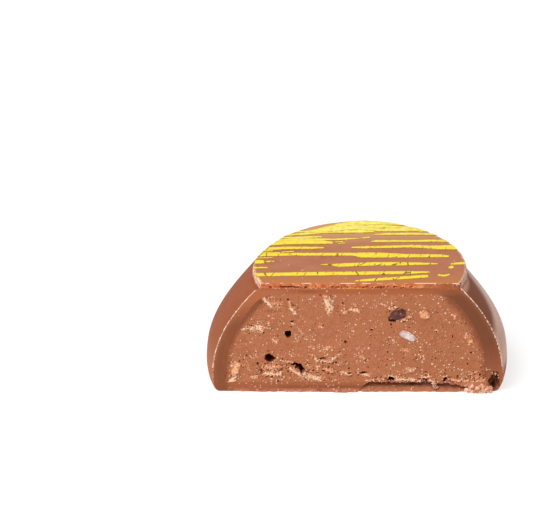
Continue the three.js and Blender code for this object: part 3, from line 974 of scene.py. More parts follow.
@dataclass(frozen=True)
class CutCoatFinish:
    """Milk chocolate where the knife went through: matte and darker, redder at its base, with painted shade under the
    disc, in the recess and in the corner hollow.
    """

    plain: Color = srgb(146, 83, 53)
    dark: Color = srgb(136, 76, 48)
    warm: Color = srgb(168, 96, 63)
    lit: Color = srgb(184, 106, 68)
    dim: Color = srgb(122, 70, 46)
    band: Color = srgb(180, 102, 62)
    under: Color = srgb(158, 88, 54)
    base: Color = srgb(171, 98, 63)
    shade: Color = srgb(146, 83, 54)
    pink: Color = srgb(200, 130, 106)
    plum: Color = srgb(128, 70, 62)
    crumbly: Color = srgb(212, 142, 110)
    recess: Color = srgb(182, 112, 76)
    recess_top: Color = srgb(128, 76, 58)
    cavity: Color = srgb(78, 38, 22)
    cavity_lit: Color = srgb(150, 92, 60)
    chipped: Color = srgb(250, 206, 172)

    def build(self) -> Material:
        """Return the coat's cut material."""
        p = Paint("milk_chocolate_cut", 0.6, specular_ior_level=0.15)
        x, _, z = p.axes
        drag = p.mask(ShaderGroups.ripple(), size=0.45, stretch=5.0)
        hollow, base = p.stored("hollow"), p.stored("base")
        p.start(p.mottle(3.2, 1.2), self.dark, self.plain)
        p.lay(self.warm, p.span(drag, 0.55, 0.8, 0.0, 0.3))
        p.lay(self.dim, p.span(x, 2.0, 10.0, 0.0, 0.75))
        p.lay(self.warm, p.span(x, 10.0, 13.0) * p.span(z, 1.5, 6.5, 0.8, 0.0))
        over = p.span(z, FORM.filling_top - 0.3, FORM.filling_top)
        over = over * (p.span(x, -11.0, -9.5) * p.span(x, 7.0, 11.0, 1.0, 0.2))
        p.lay(self.band, over)
        # Painted shadow under the disc, on the left.
        shadow = p.span(x, -10.8, -9.8) * p.span(x, -5.5, -3.5, 1.0, 0.25)
        p.lay(self.under, p.span(z, FORM.neck_height - 0.45, FORM.neck_height - 0.2) * shadow)
        p.lay(self.lit, p.stored("lit"))
        p.lay(self._base(p), base)
        # Painted shade in the recess, darker towards its top under the overhanging filling.
        recess = p.blend(p.span(z, 0.3, 0.8), self.recess, self.recess_top)
        # Painted shade and light, mottled, in the corner hollow and where the recess is deep.
        cavity = p.blend(p.mottle(0.5, 2.6, 51.0), self.cavity, self.cavity_lit)
        p.lay(p.blend(p.span(x, 13.0, 13.8).max(p.stored("deep")), recess, cavity), hollow)
        share = (base * hollow.affine(-0.35, 1.0)).affine(0.2, over.affine(0.06, 0.003))
        p.lay(self.chipped, p.speckle(0.2, share, 3.0) * 0.7)
        p.lay(self.chipped, p.stored("edge") * p.mottle(0.16, 2.5).affine(0.85, 0.15))
        return p.finish(drag, 0.25, 0.1)

    def _base(self, p: Paint) -> Wire:
        """Return the base's colours: a dark band low on the left, crumbly on the right."""
        x, _, z = p.axes
        band = p.span(abs(z - 0.55), 0.08, 0.32, 1.0, 0.0) * p.span(x, -10.5, -7.5, 0.15, 0.75)
        color = p.blend(band, self.base, self.shade)
        color = p.blend(p.span(z, 0.1, 0.5, 1.0, 0.0) * p.mottle(0.7, 2.0, 41.0), color, self.pink)
        color = p.blend(p.span(z, 0.15, 0.4, 0.8, 0.0) * p.speckle(1.1, 0.35, 43.0), color, self.plum)
        return p.blend(p.span(x, 11.3, 12.3, 0.0, 0.9), color, self.crumbly)


@dataclass(frozen=True)
class PralineFinish:
    """Nut praline: matte, finely speckled, with pale flakes, dark pits, and painted shade in its pits and air holes."""

    plain: Color = srgb(179, 106, 69)
    red: Color = srgb(167, 96, 62)
    light: Color = srgb(190, 117, 78)
    brown: Color = srgb(164, 97, 60)
    dusty: Color = srgb(216, 148, 110)
    seam: Color = srgb(146, 83, 54)
    grain: Color = srgb(255, 214, 182)
    orange: Color = srgb(224, 140, 92)
    cream: Color = srgb(252, 214, 180)
    pit: Color = srgb(80, 28, 12)
    # The heights between which the filling turns from torn below to smooth above.
    torn: float = 3.5
    smooth: float = 6.0

    def build(self) -> Material:
        """Return the filling's material."""
        p = Paint("nut_praline", 0.7, specular_ior_level=0.1)
        x, _, z = p.axes
        seam, near = p.stored("seam"), p.stored("near")
        p.start(p.mottle(3.4, 1.3), self.red, self.plain)
        p.lay(self.light, p.mottle(0.55, 1.9, 11.0) * 0.5)
        p.lay(self.brown, p.span(x, 1.0, 9.0, 0.0, 0.4))
        p.lay(self.dusty, p.mottle(0.13, 2.8, 61.0) * 0.36)
        p.lay(self.seam, seam)
        cluster = p.span(p.mottle(1.1, 2.6, 23.0), 0.4, 1.0)
        share = cluster.affine(0.4, 0.04).max(p.span(near, -0.9, 0.3, 0.0, 0.42))
        coarse = p.speckle(0.34, share * p.span(z, self.torn, self.smooth, 0.3, 0.2), 5.0)
        grains = (p.speckle(0.21, share) * 0.9).max(coarse * 0.75) * (1.0 - seam)
        self._flakes(p, near)
        p.lay(self.grain, grains)
        among = p.stored("pitted") * p.span(near, -0.7, 0.2, 0.0, 0.36)
        low = p.span(z, self.torn, self.smooth, 0.085, 0.014)
        specks = p.speckle(0.23, cluster.affine(0.07, low).max(among), 9.0)
        large = p.speckle(0.36, p.span(z, self.torn, self.smooth, 0.05, 0.006), 27.0)
        # Dark specks, and painted shade in the pits among the flakes and inside the air holes.
        pits = specks.max(large).max(p.stored("pit"))
        p.lay(self.pit, pits)
        return p.finish(grains + 0.5 - pits, 0.35, 0.1)

    def _flakes(self, p: Paint, near: Wire) -> None:
        """Lay the flakes on the colour: soft orange bodies with cream crests."""
        body = p.mottle(0.35, 1.8, 31.0).affine(0.9, near - 0.45)
        p.lay(self.orange, p.span(body, -0.1, 0.8, 0.0, 0.85))
        crest = p.mottle(0.14, 2.4, 37.0).affine(1.0, near.affine(0.9, p.stored("tone") - 1.2))
        p.lay(self.cream, p.span(crest, 0.3, 0.85, 0.0, 0.95))


@dataclass(frozen=True)
class DiscFinish:
    """The disc's smooth printed side and rim, chipped pale at its edges."""

    plain: Color = srgb(190, 123, 94)
    warm: Color = srgb(198, 130, 96)
    deep: Color = srgb(178, 111, 81)
    front: Color = srgb(200, 126, 72)
    back: Color = srgb(220, 170, 118)
    side: Color = srgb(196, 130, 102)
    right_side: Color = srgb(182, 120, 94)
    chipped: Color = srgb(255, 216, 188)
    orange: Color = srgb(224, 134, 92)

    def build(self) -> Material:
        """Return the disc's material."""
        p = Paint("printed_disc_top", 0.5, specular_ior_level=0.15)
        x, y, z = p.axes
        p.start(p.mottle(2.6, 1.2), self.deep, self.plain)
        p.lay(self.warm, p.mottle(0.9, 1.2, 4.0) * 0.5)
        p.lay(self.chipped, p.speckle(0.3, 0.02) * 0.6)
        p.lay(self.front, p.span(y, -4.5, -1.8, 0.8, 0.0))
        p.lay(self.back, p.span(y, 4.0, 10.0, 0.0, 0.8))
        side = p.blend(p.span(x, 5.0, 10.0), self.side, self.right_side)
        p.lay(side, p.span(z, FORM.disc_top - 0.12, FORM.disc_top - 0.04, 0.85, 0.0))
        near = p.span(y - CUT_Y, 0.15, 0.75, 1.0, 0.0) * p.span(x, -2.0, 3.0, 0.55, 0.0)
        p.lay(self.orange, near * p.speckle(0.3, 0.5, 8.0))
        p.lay(self.chipped, self._chips(p))
        return p.finish(p.noise(p.place, 2.0, 3.0), 0.1, 0.15)

    def _chips(self, p: Paint) -> Wire:
        """Return where the rim and the cut edge are chipped: mostly on the left."""
        x, y, z = p.axes
        off_middle = x - FORM.disc_shift
        reach = off_middle.affine(off_middle, y * y).root()
        rim = p.span(reach, FORM.disc_top_radius - 0.3, FORM.disc_top_radius - 0.08)
        sides = p.span(x, -9.0, 0.0, 1.0, 0.15).max(p.span(x, 7.0, 10.5, 0.0, 0.7))
        rim = rim * sides * p.mottle(0.35, 2.2).affine(0.8, 0.2)
        front = p.span(y, 0.12 + CUT_Y, 0.3 + CUT_Y, 1.0, 0.0)
        front = front * z.then("GREATER_THAN", FORM.disc_top - 0.05)
        long_dash = p.span(abs(x - 7.35), 1.15, 1.3, 1.0, 0.0)
        dashes = p.span(p.mottle(0.9, 3.0, 17.0), 0.55, 0.7) * p.span(x, 0.5, 3.0, 1.0, 0.3)
        return rim.max(front * dashes.max(long_dash))


@dataclass(frozen=True)
class CutDiscFinish:
    """The disc at the cut: orange and ragged above its broken seam, smooth brown below it."""

    upper: Color = srgb(232, 140, 90)
    ruddy: Color = srgb(196, 96, 58)
    lower: Color = srgb(176, 102, 66)
    dim: Color = srgb(168, 94, 58)
    dark: Color = srgb(70, 22, 8)
    grain: Color = srgb(248, 184, 146)
    ochre: Color = srgb(232, 150, 60)

    def build(self) -> Material:
        """Return the disc's cut material."""
        p = Paint("printed_disc_cut", 0.6, specular_ior_level=0.05)
        x, _, z = p.axes
        seam = FORM.disc_seam_height
        upper = p.blend(p.mottle(0.7, 2.2), self.ruddy, self.upper)
        upper = p.blend(p.span(x, 6.0, 10.5), upper, self.dim)
        lower = p.blend(p.span(x, 1.0, 8.0), self.lower, self.dim)
        torn = p.span(z, seam - 0.14, seam - 0.02)
        p.start(torn, lower, upper)
        grains = p.speckle(0.2, torn.affine(0.3, 0.02), 6.0)
        p.lay(self.grain, grains * 0.8)
        below = p.span(abs(z - (seam - 0.13)), 0.03, 0.09, 1.0, 0.0)
        flecks = p.span(p.mottle(0.3, 3.0, 19.0), 0.6, 0.85)
        p.lay(self.grain, below * flecks * (p.span(x, -10.0, -9.0) * p.span(x, 0.0, 4.0, 0.8, 0.1)))
        p.lay(self.ochre, p.span(abs(x + 0.6), 0.6, 2.2, 1.0, 0.0) * below * 0.7)
        p.lay(self.dark, p.stored("seam"))
        return p.finish(grains, 0.4, 0.08)


@dataclass(frozen=True)
class PrintFinish:
    """Yellow cocoa butter print, crazed with hairline cracks, with painted shade along its ribbons' edges and painted
    light towards the back.
    """

    yellow: Color = srgb(255, 234, 66)
    deep: Color = srgb(255, 220, 60)
    pale: Color = srgb(255, 250, 140)
    ochre: Color = srgb(172, 114, 30)
    crack: Color = srgb(104, 58, 16)

    def build(self) -> Material:
        """Return the print's material."""
        p = Paint("yellow_print", 0.5, specular_ior_level=0.2)
        x, y, z = p.axes
        p.start(p.mottle(1.2, 1.6), self.deep, self.yellow)
        # Painted light: paler towards the back.
        p.lay(self.pale, p.span(y, 4.0, 10.0, 0.1, 1.0) * p.mottle(0.6, 1.4, 5.0))
        cells = {"Vector": p.xyz(y.affine(-0.3, x), y * 0.25, z), "Scale": 0.8}
        distance = p.add("ShaderNodeTexVoronoi", cells, "Distance", feature="DISTANCE_TO_EDGE")
        line = p.span(distance, 0.012, 0.04, 1.0, 0.0) * p.span(p.mottle(0.7, 3.0, 13.0), 0.2, 0.6)
        specks = p.speckle(0.2, p.span(y, -2.0, 8.0, 0.03, 0.12))
        marks = (line * p.span(y, 2.0, 6.5, 1.0, 0.12)).max(specks * 0.55)
        # Painted shade along each ribbon's edges, stronger on its front edge.
        across = p.stored("across")
        p.lay(self.ochre, p.span(across, -1.1, -0.75, 0.85, 0.0).max(p.span(across, 0.85, 1.1, 0.0, 0.7)))
        p.lay(self.crack, marks * 0.85)
        return p.finish(1.0 - marks, 0.4, 0.05)


@dataclass(frozen=True)
class AlmondFinish:
    """A chopped almond piece, with a colour in the middle and another at its edge."""

    name: str
    middle: Color
    side: Color
    fleck: Color
    rim: Color
    flecked: float
    speck: Color = srgb(110, 52, 30)

    def build(self) -> Material:
        """Return the almond piece's material."""
        p = Paint(self.name, 0.6, specular_ior_level=0.3)
        rim = p.stored("rim")
        p.start(p.mottle(0.5, 2.0), self.side, self.middle)
        p.lay(self.rim, p.span(rim + p.mottle(0.3, 2.0, 3.0).affine(0.7, -0.35), 0.6, 1.1, 0.0, 0.9))
        p.lay(self.fleck, p.speckle(0.22, self.flecked) * 0.7)
        p.lay(self.speck, p.speckle(0.2, rim * 0.2, 7.0) * 0.8)
        return p.finish(p.noise(p.place, 5.0, 3.0), 0.4, 0.1)


@dataclass(frozen=True)
class CrumbFinish:
    """Crumbs and chips, each between two colours by its own tone."""

    name: str
    dark: Color
    light: Color

    def build(self) -> Material:
        """Return the crumbs' material."""
        p = Paint(self.name, 0.65, specular_ior_level=0.3)
        p.start(p.stored("tone"), self.dark, self.light)
        return p.finish(p.noise(p.place, 8.0, 2.0), 0.3, 0.05)


# ---------------------------------------------------------------- pieces


def finished_piece(
    name: str, mesh: Mesh, replaced: str | None = None, crease: float = 80, material: Material | None = None
) -> Piece:
    """Turn a mesh in millimetres into a piece of the scene.

    Args:
        name: The piece's name.
        mesh: Its mesh, in millimetres.
        replaced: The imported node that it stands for.
        crease: Faces that meet at a larger angle, in degrees, keep a sharp edge.
        material: Its only material, if it isn't painted yet.

    Returns:
        The piece.
    """
    if material:
        mesh.materials.clear()
        mesh.materials.append(material)
    mesh.transform(Matrix.Scale(MM, 4))
    mesh.polygons.foreach_set("use_smooth", np.ones(len(mesh.polygons), dtype=bool))
    mesh.set_sharp_from_angle(angle=math.radians(crease))
    mesh.name = name
    piece = bpy.data.objects.new(name, mesh)
    bpy.context.scene.collection.objects.link(piece)
    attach(piece, BODY)
    if replaced:
        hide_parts(replaced)
    log.info("%s: %d points, %d faces", name, len(mesh.vertices), len(mesh.polygons))
    return piece


def paint_cut(mesh: Mesh, outside: Material, cut: Material) -> None:
    """Give a cut solid one material on its cut face and another elsewhere.

    Args:
        mesh: The solid, in millimetres.
        outside: The material off the cut.
        cut: The material on it.
    """
    mesh.materials.clear()
    mesh.materials.append(outside)
    mesh.materials.append(cut)
    count = len(mesh.polygons)
    normals, centres = np.empty(3 * count), np.empty(3 * count)
    mesh.polygons.foreach_get("normal", normals)
    mesh.polygons.foreach_get("center", centres)
    x, y, z = centres.reshape(-1, 3).T
    near = y < FORM.strip_depth + 1.6 + CUT_Y
    on_cut = (normals.reshape(-1, 3)[:, 1] < -0.3) & near & (y < 0.35 + CUT_Y)
    in_hole = (y < 3 + CUT_Y) & (x > 12) & (z < 3.2) & (FORM.belly_radius - np.hypot(x, y) > 0.45)
    in_gap = near & (x > 0) & (x < 14) & (z < 1.5) & (z > 0.02)
    mesh.polygons.foreach_set("material_index", (on_cut | in_hole | in_gap).astype(np.int32))


@dataclass
class ChocolateCoat:
    """The milk chocolate coat: dome, base and the thin layer over the filling."""

    bodies: TurnedBody
    cell: float = 0.11
    overlap: float = 0.03
    edge_width: float = 0.05
    corner_hole: Triple = (15.35, -4.7, 1.4)
    corner_size: Triple = (1.4, 1.5, 2.2)
    burr_starts: tuple[float, float] = (2.9, 3.2)
    sheen_lean: float = 0.475
    sheen_heights: tuple[float, ...] = (3.0, 6.0, 7.5, 8.5, 10.0, 12.0)
    sheen_starts: tuple[float, ...] = (-0.75, -0.66, -0.54, -0.46, -0.42, -0.43)
    sheen_fade: float = 0.2

    def build(self) -> Mesh:
        """Return the coat's mesh, in millimetres."""
        dome = self.bodies.mesh(dipped_waves=1.0)
        block = knife_block(self.cell, -1.0, FORM.neck_height + 1.0, FORM.belly_radius + 1.0, Relief.coat)
        corner = lump_mesh(self.corner_hole, self.corner_size, 0.45, 5, 3.0)
        steps = [(Cut.TAKE_AWAY, self.bodies.filling(-self.overlap)), (Cut.KEEP_INSIDE, block)]
        steps += [(Cut.TAKE_AWAY, self._broken_strip()), (Cut.TAKE_AWAY, corner)]
        mesh = carve(dome, steps)
        self._mark(mesh)
        return mesh

    def _broken_strip(self) -> Mesh:
        """Return the gap under the filling: deepest at its top, with a crumbly back."""
        across, up = np.linspace(FORM.strip_start, FORM.strip_end, 150), np.linspace(0, 1, 26)
        x, share = np.meshgrid(across, up, indexing="ij")
        top = strip_top(x)
        z = -0.5 + share * (top + 0.5)
        scoop = np.clip(z / np.maximum(top, 0.1), 0, 1) ** 1.5
        back = 0.1 + (FORM.strip_depth - 0.1) * scoop - 0.5 * np.clip(1 - z / 0.25, 0, 1)
        back += 0.12 * Relief.noise(x / 0.5, 1, z / 0.4) + 0.05 * Relief.noise(x / 0.2, 4, z / 0.2)
        back += 0.7 * np.exp(-(((x - 6.15) / 0.25) ** 2) - ((z - 0.8) / 0.2) ** 2)
        back *= np.clip((x - FORM.strip_start) / 0.8, 0.15, 1)
        ends = 0.25 * Relief.noise(0 * x, 2, z / 0.4) * ((x == x[0, 0]) | (x == x[-1, 0]))
        rear = np.stack([x + ends, back + CUT_Y, z], axis=-1)
        front = rear.copy()
        front[..., 1] = CUT_Y - 1.5
        return slab(rear, front)

    def _mark(self, mesh: Mesh) -> None:
        """Keep where the cut's outer edge is chipped, where the base is, where it is lightest, and the band near the
        right outline that is glossier and has a painted sheen.
        """
        x, y, z = points_of(mesh).T
        behind = y - CUT_Y
        away = np.maximum(np.abs(FORM.coat_radius(z) - np.hypot(x, y)), np.maximum(behind, 0))
        store_values(mesh, "edge", np.clip(1.2 - away / self.edge_width, 0, 1) * (z > 0.8))
        inside = FORM.depth_in_coat(x, z)
        uneven = 0.25 * Relief.noise(x / 0.9, 6, z / 0.9)
        base = np.clip((FORM.base + 0.5 - z) / 0.4, 0, 1) * np.clip((inside - 1.5 + uneven) / 0.8, 0, 1)
        store_values(mesh, "base", base * np.where(z < 3, 1, 0))
        sunk = np.clip((behind - 0.1) / 0.12, 0, 1)
        hollow = sunk * (x > FORM.strip_start) * (z < 3.2) * (inside > 0.15)
        along = np.clip((x - FORM.strip_start) / 0.6, 0, 1) * np.clip((FORM.strip_end - x) / 0.8, 0, 1)
        hollow = np.maximum(hollow, along * np.clip((strip_top(x) - z) / 0.15 + 0.5, 0, 1))
        store_values(mesh, "hollow", np.where(y < 3 + CUT_Y, hollow, 0))
        store_values(mesh, "deep", np.clip((behind - 0.95) / 0.3, 0, 1))
        # The sheen band follows the outline seen at the camera's elevation (sheen_lean); its pale colour is a painted
        # sheen.
        bearing = y / np.maximum(np.hypot(x, y), 0.1)
        turned = bearing - self.sheen_lean * FORM.dome_tilt(z)
        start = np.interp(z, self.sheen_heights, self.sheen_starts)
        sheen = np.clip((turned - start) / self.sheen_fade, 0, 1) * np.clip((z - 2.0) / 1.2, 0, 1)
        store_values(mesh, "sheen", sheen * np.clip((x - 2) / 4, 0, 1) * np.clip((0.4 - turned) / 0.35, 0, 1))
        upper = np.clip((z - 8.0) / 3.5, 0, 1) * np.clip((-6.0 - x) / 3.0, 0, 1)
        outer = 0.35 * np.clip(1 - inside / 0.6, 0, 1)
        store_values(mesh, "lit", np.clip(upper + outer, 0, 1))

    def cut_edge(self, mesh: Mesh) -> Mesh:
        """Return the line where the painted coat's cut face meets its outside, above the foot."""
        shape = bmesh.new()
        shape.from_mesh(mesh)
        kept = set()
        for edge in shape.edges:
            faces = edge.link_faces
            if len(faces) != 2 or faces[0].material_index == faces[1].material_index:
                continue
            x, y, z = (edge.verts[0].co + edge.verts[1].co) / 2
            above = self.burr_starts[int(x > 0)] < z < FORM.neck_height - 0.02
            if above and y < 0.3 + CUT_Y and abs(x) > FORM.coat_half_width(z) - 0.5:
                kept.add(edge)
        bmesh.ops.delete(shape, geom=list(shape.faces), context="FACES_ONLY")
        bmesh.ops.delete(shape, geom=[edge for edge in shape.edges if edge not in kept], context="EDGES")
        return mesh_of(shape, "cut_edge")

    def dress(self, mesh: Mesh, burr: "EdgeBurr") -> Piece:
        """Paint the coat and put it in the scene, with the burr on its cut edge."""
        paint_cut(mesh, CoatFinish().build(), CutCoatFinish().build())
        burr.dress("coat_edge_burr", self.cut_edge(mesh), "milk_chocolate")
        return finished_piece("coat_shell", mesh, "chocolate_coat", 40)


class EdgeBurr:
    """The thin pale burr that the knife left along the cut's outer edges."""

    def __init__(self) -> None:
        """Build the burr's material and tree once."""
        self.material = CrumbFinish("cut_edge_burr", srgb(240, 190, 158), srgb(255, 244, 228)).build()
        self.tree = self._tree()

    @staticmethod
    def _tree() -> Tree:
        """Build the tree that draws a thin broken burr along a line."""
        s = NodeSheet.group(
            "edge_burr",
            TreeKind.GEOMETRY,
            geometry=SocketKind.GEOMETRY,
            step=0.06,
            radius=0.058,
            break_size=0.22,
            material=SocketKind.MATERIAL,
        )
        lines = s.add("GeometryNodeMeshToCurve", {"Mesh": s.given.geometry})
        even = s.add("GeometryNodeResampleCurve", {"Curve": lines, "Length": s.given.step}, mode="LENGTH")
        swell = s.span(s.noise(s.position(), 1.0 / s.given.break_size, 2.0), 0.42, 0.58, 0.05, 1.1)
        toned = s.kept(even, "tone", s.span(s.noise(s.position(), 5.0, 2.0), 0.3, 0.7))
        circle = s.add("GeometryNodeCurvePrimitiveCircle", {"Resolution": 6, "Radius": s.given.radius})
        inputs = {"Curve": toned, "Profile Curve": circle, "Scale": swell, "Fill Caps": True}
        return s.end_geometry(s.add("GeometryNodeCurveToMesh", inputs))

    def dress(self, name: str, line: Mesh, slot: str, **values: Value) -> Piece:
        """Build the burr along a line and put it in the scene.

        Args:
            name: The piece's name.
            line: The line, in millimetres.
            slot: The material slot of the record; not used.
            **values: Inputs of the tree.

        Returns:
            The burr.
        """
        return finished_piece(name, run_geometry_tree(self.tree, line, material=self.material, **values))


def strip_top(x: Array) -> Array:
    """Return the height of the broken strip's ragged upper edge, low at its ends."""
    rising = np.clip((x - FORM.strip_start) / 0.9, 0, 1)
    sinking = np.clip((x - 8.0) / (FORM.strip_end - 8.0), 0, 1)
    ragged = 0.16 * Relief.noise(x / 0.55, 0, 0 * x) + 0.1 * Relief.noise(x / 0.22, 3, 0 * x)
    return 0.35 + (FORM.base - 0.35) * rising - 0.6 * sinking + ragged


def slab(rear: Array, front: Array) -> Mesh:
    """Close two grids of points of the same shape into one solid.

    Args:
        rear: The grid at the back, seen from the front as columns by rows.
        front: The grid in front of it.

    Returns:
        The solid's mesh, with its faces pointing out.
    """
    columns, rows = rear.shape[:2]
    count = columns * rows
    at = np.arange(count).reshape(columns, rows)
    quads = np.stack([at[:-1, :-1], at[1:, :-1], at[1:, 1:], at[:-1, 1:]], axis=-1).reshape(-1, 4)
    faces = (quads + count).tolist() + quads[:, ::-1].tolist()
    border = [*at[:, 0], *at[-1, 1:], *at[-2::-1, -1], *at[0, -2:0:-1]]
    for here, there in zip(border, border[1:] + border[:1]):
        faces.append([int(here), int(there), int(there) + count, int(here) + count])
    return plain_mesh("slab", np.vstack([rear.reshape(-1, 3), front.reshape(-1, 3)]), faces)


def lump_mesh(
    centre: Triple, size: Triple, roughness: float, detail: int, seed: float, tilt: float = 0, squareness: float = 0
) -> Mesh:
    """Make an uneven lump.

    Args:
        centre: Its middle.
        size: Its width, depth and height.
        roughness: How far its surface swells in and out, as a share.
        detail: Subdivisions of the ball that it starts from.
        seed: Picks another form.
        tilt: Its turn in the plane of the cut, in degrees.
        squareness: How box-like it is, from 0 for a ball towards 1.

    Returns:
        The lump's mesh.
    """
    shape = bmesh.new()
    bmesh.ops.create_icosphere(shape, subdivisions=detail, radius=1.0)
    ball = mesh_of(shape, "ball")
    at = points_of(ball)
    at = np.sign(at) * np.abs(at) ** (1 - squareness)
    x, y, z = at.T
    swell = 1 + roughness * Relief.noise(1.6 * x + seed, 0.3, 1.6 * z - seed)
    swell += 0.4 * roughness * Relief.noise(4.1 * x + seed, 0.6, 4.1 * z + 3.1 * y)
    shaped = at * swell[:, None] * np.array(size) / 2
    turn = np.array(Matrix.Rotation(math.radians(tilt), 3, "Y"))
    move_points(ball, shaped @ turn.T + np.array(centre))
    return ball


@dataclass
class PralineFilling:
    """The praline filling, with its torn places, air holes and pits."""

    bodies: TurnedBody
    cell: float = 0.08

    def build(self) -> Mesh:
        """Return the filling's mesh, in millimetres."""
        block = knife_block(self.cell, 0.3, FORM.neck_height + 0.4, FORM.belly_radius, Relief.filling)
        steps = [(Cut.KEEP_INSIDE, block)]
        for h in AIR_HOLES:
            middle, size = (h.x, CUT_Y, h.z), (h.width, 2 * h.depth, h.height)
            steps.append((Cut.TAKE_AWAY, lump_mesh(middle, size, 0.4, 4, h.x, h.tilt)))
        mesh = carve(self.bodies.filling(0.0), steps)
        x, y, z = points_of(mesh).T
        front = y < 1.6 + CUT_Y
        near, tone, pitted = Relief.near_flakes(x, z)
        store_values(mesh, "near", np.where(front, np.clip(near, -1, 1), -1))
        store_values(mesh, "tone", tone)
        store_values(mesh, "pitted", pitted)
        # Painted shade: these values darken the faces inside the air holes and the pits among the flakes.
        sunk = np.clip((y - CUT_Y - 0.12) / 0.2, 0, 1)
        holes = np.max([np.clip(0.5 + h.closeness(x, z) / 0.4, 0, 1) for h in AIR_HOLES], axis=0)
        pits = np.maximum(0.6 * Relief.pitted(x, z), holes * sunk)
        store_values(mesh, "pit", np.where(front, pits, 0))
        store_values(mesh, "seam", self._seam(x, z))
        return mesh

    def _seam(self, x: Array, z: Array) -> Array:
        """Return how near places on the cut are to the coat, along the filling's dark border."""
        side, top = FORM.filling_depths(x, z)
        wavy = 0.12 * Relief.noise(x, 9, z)
        beside = 1 - (side + wavy - 0.05) / np.where(x > 0, 0.9, 0.75)
        above = np.interp(x, (-9, -6, 8, 11), (0.4, 0, 0, 0.4)) - (top + wavy) / 0.6
        seam = np.clip(np.maximum(beside, above), 0, 1)
        return seam * seam * (3 - 2 * seam)

    def dress(self, mesh: Mesh) -> Piece:
        """Paint the filling and put it in the scene."""
        return finished_piece("filling_core", mesh, "praline_filling", 60, PralineFinish().build())


@dataclass
class PrintedDisc:
    """The thin chocolate disc that closes the top."""

    bodies: TurnedBody
    cell: float = 0.06
    sunk: float = 0.02
    pressed_rim: float = 0.4
    ragged_rim: float = 0.3

    def build(self) -> Mesh:
        """Return the disc's mesh, in millimetres."""
        low = FORM.neck_height - self.sunk
        body = self.bodies.mesh(
            low=low,
            high=FORM.disc_top,
            height_steps=8,
            belly_radius=FORM.disc_under_radius,
            belly_height=low,
            neck_radius=FORM.disc_top_radius,
            neck_height=FORM.disc_top,
            dome_power=1.0,
            foot_narrowing=0.0,
            foot_bulge=0.0,
            top_rounding=0.06,
            shift=FORM.disc_shift,
            pressed_rim=self.pressed_rim,
            ragged_rim=self.ragged_rim,
        )
        block = knife_block(self.cell, low - 0.6, FORM.disc_top + 0.6, FORM.belly_radius, Relief.disc)
        mesh = carve(body, [(Cut.KEEP_INSIDE, block)])
        x, y, z = points_of(mesh).T
        seam = Relief.seam(x, z, FORM.disc_seam_height)
        store_values(mesh, "seam", np.where(y < 0.5 + CUT_Y, seam, 0))
        return mesh

    def corner_line(self) -> Mesh:
        """Return the line down the disc's right corner at the cut, where a pale burr also stands for a painted
        highlight.
        """
        corner = FORM.disc_shift + FORM.disc_half_width
        y = -0.02 + CUT_Y
        points = [(corner - 0.9, y, FORM.disc_top), (corner - 0.4, y, FORM.disc_top + 0.02)]
        for down in np.linspace(0.02, FORM.disc_top - FORM.neck_height, 8):
            points.append((corner + 0.05 + 0.35 * (down / 0.8) ** 2, y, FORM.disc_top - down))
        return line_mesh(points)

    def dress(self, mesh: Mesh, burr: EdgeBurr) -> Piece:
        """Paint the disc and put it in the scene, with a pale burr on its right corner that is partly a painted
        highlight.
        """
        # A pale burr down the right corner: a knife burr and a painted highlight.
        burr.dress("disc_corner_burr", self.corner_line(), "printed_chocolate", break_size=0.9, radius=0.07)
        paint_cut(mesh, DiscFinish().build(), CutDiscFinish().build())
        return finished_piece("disc_plate", mesh, "printed_disc", 30)


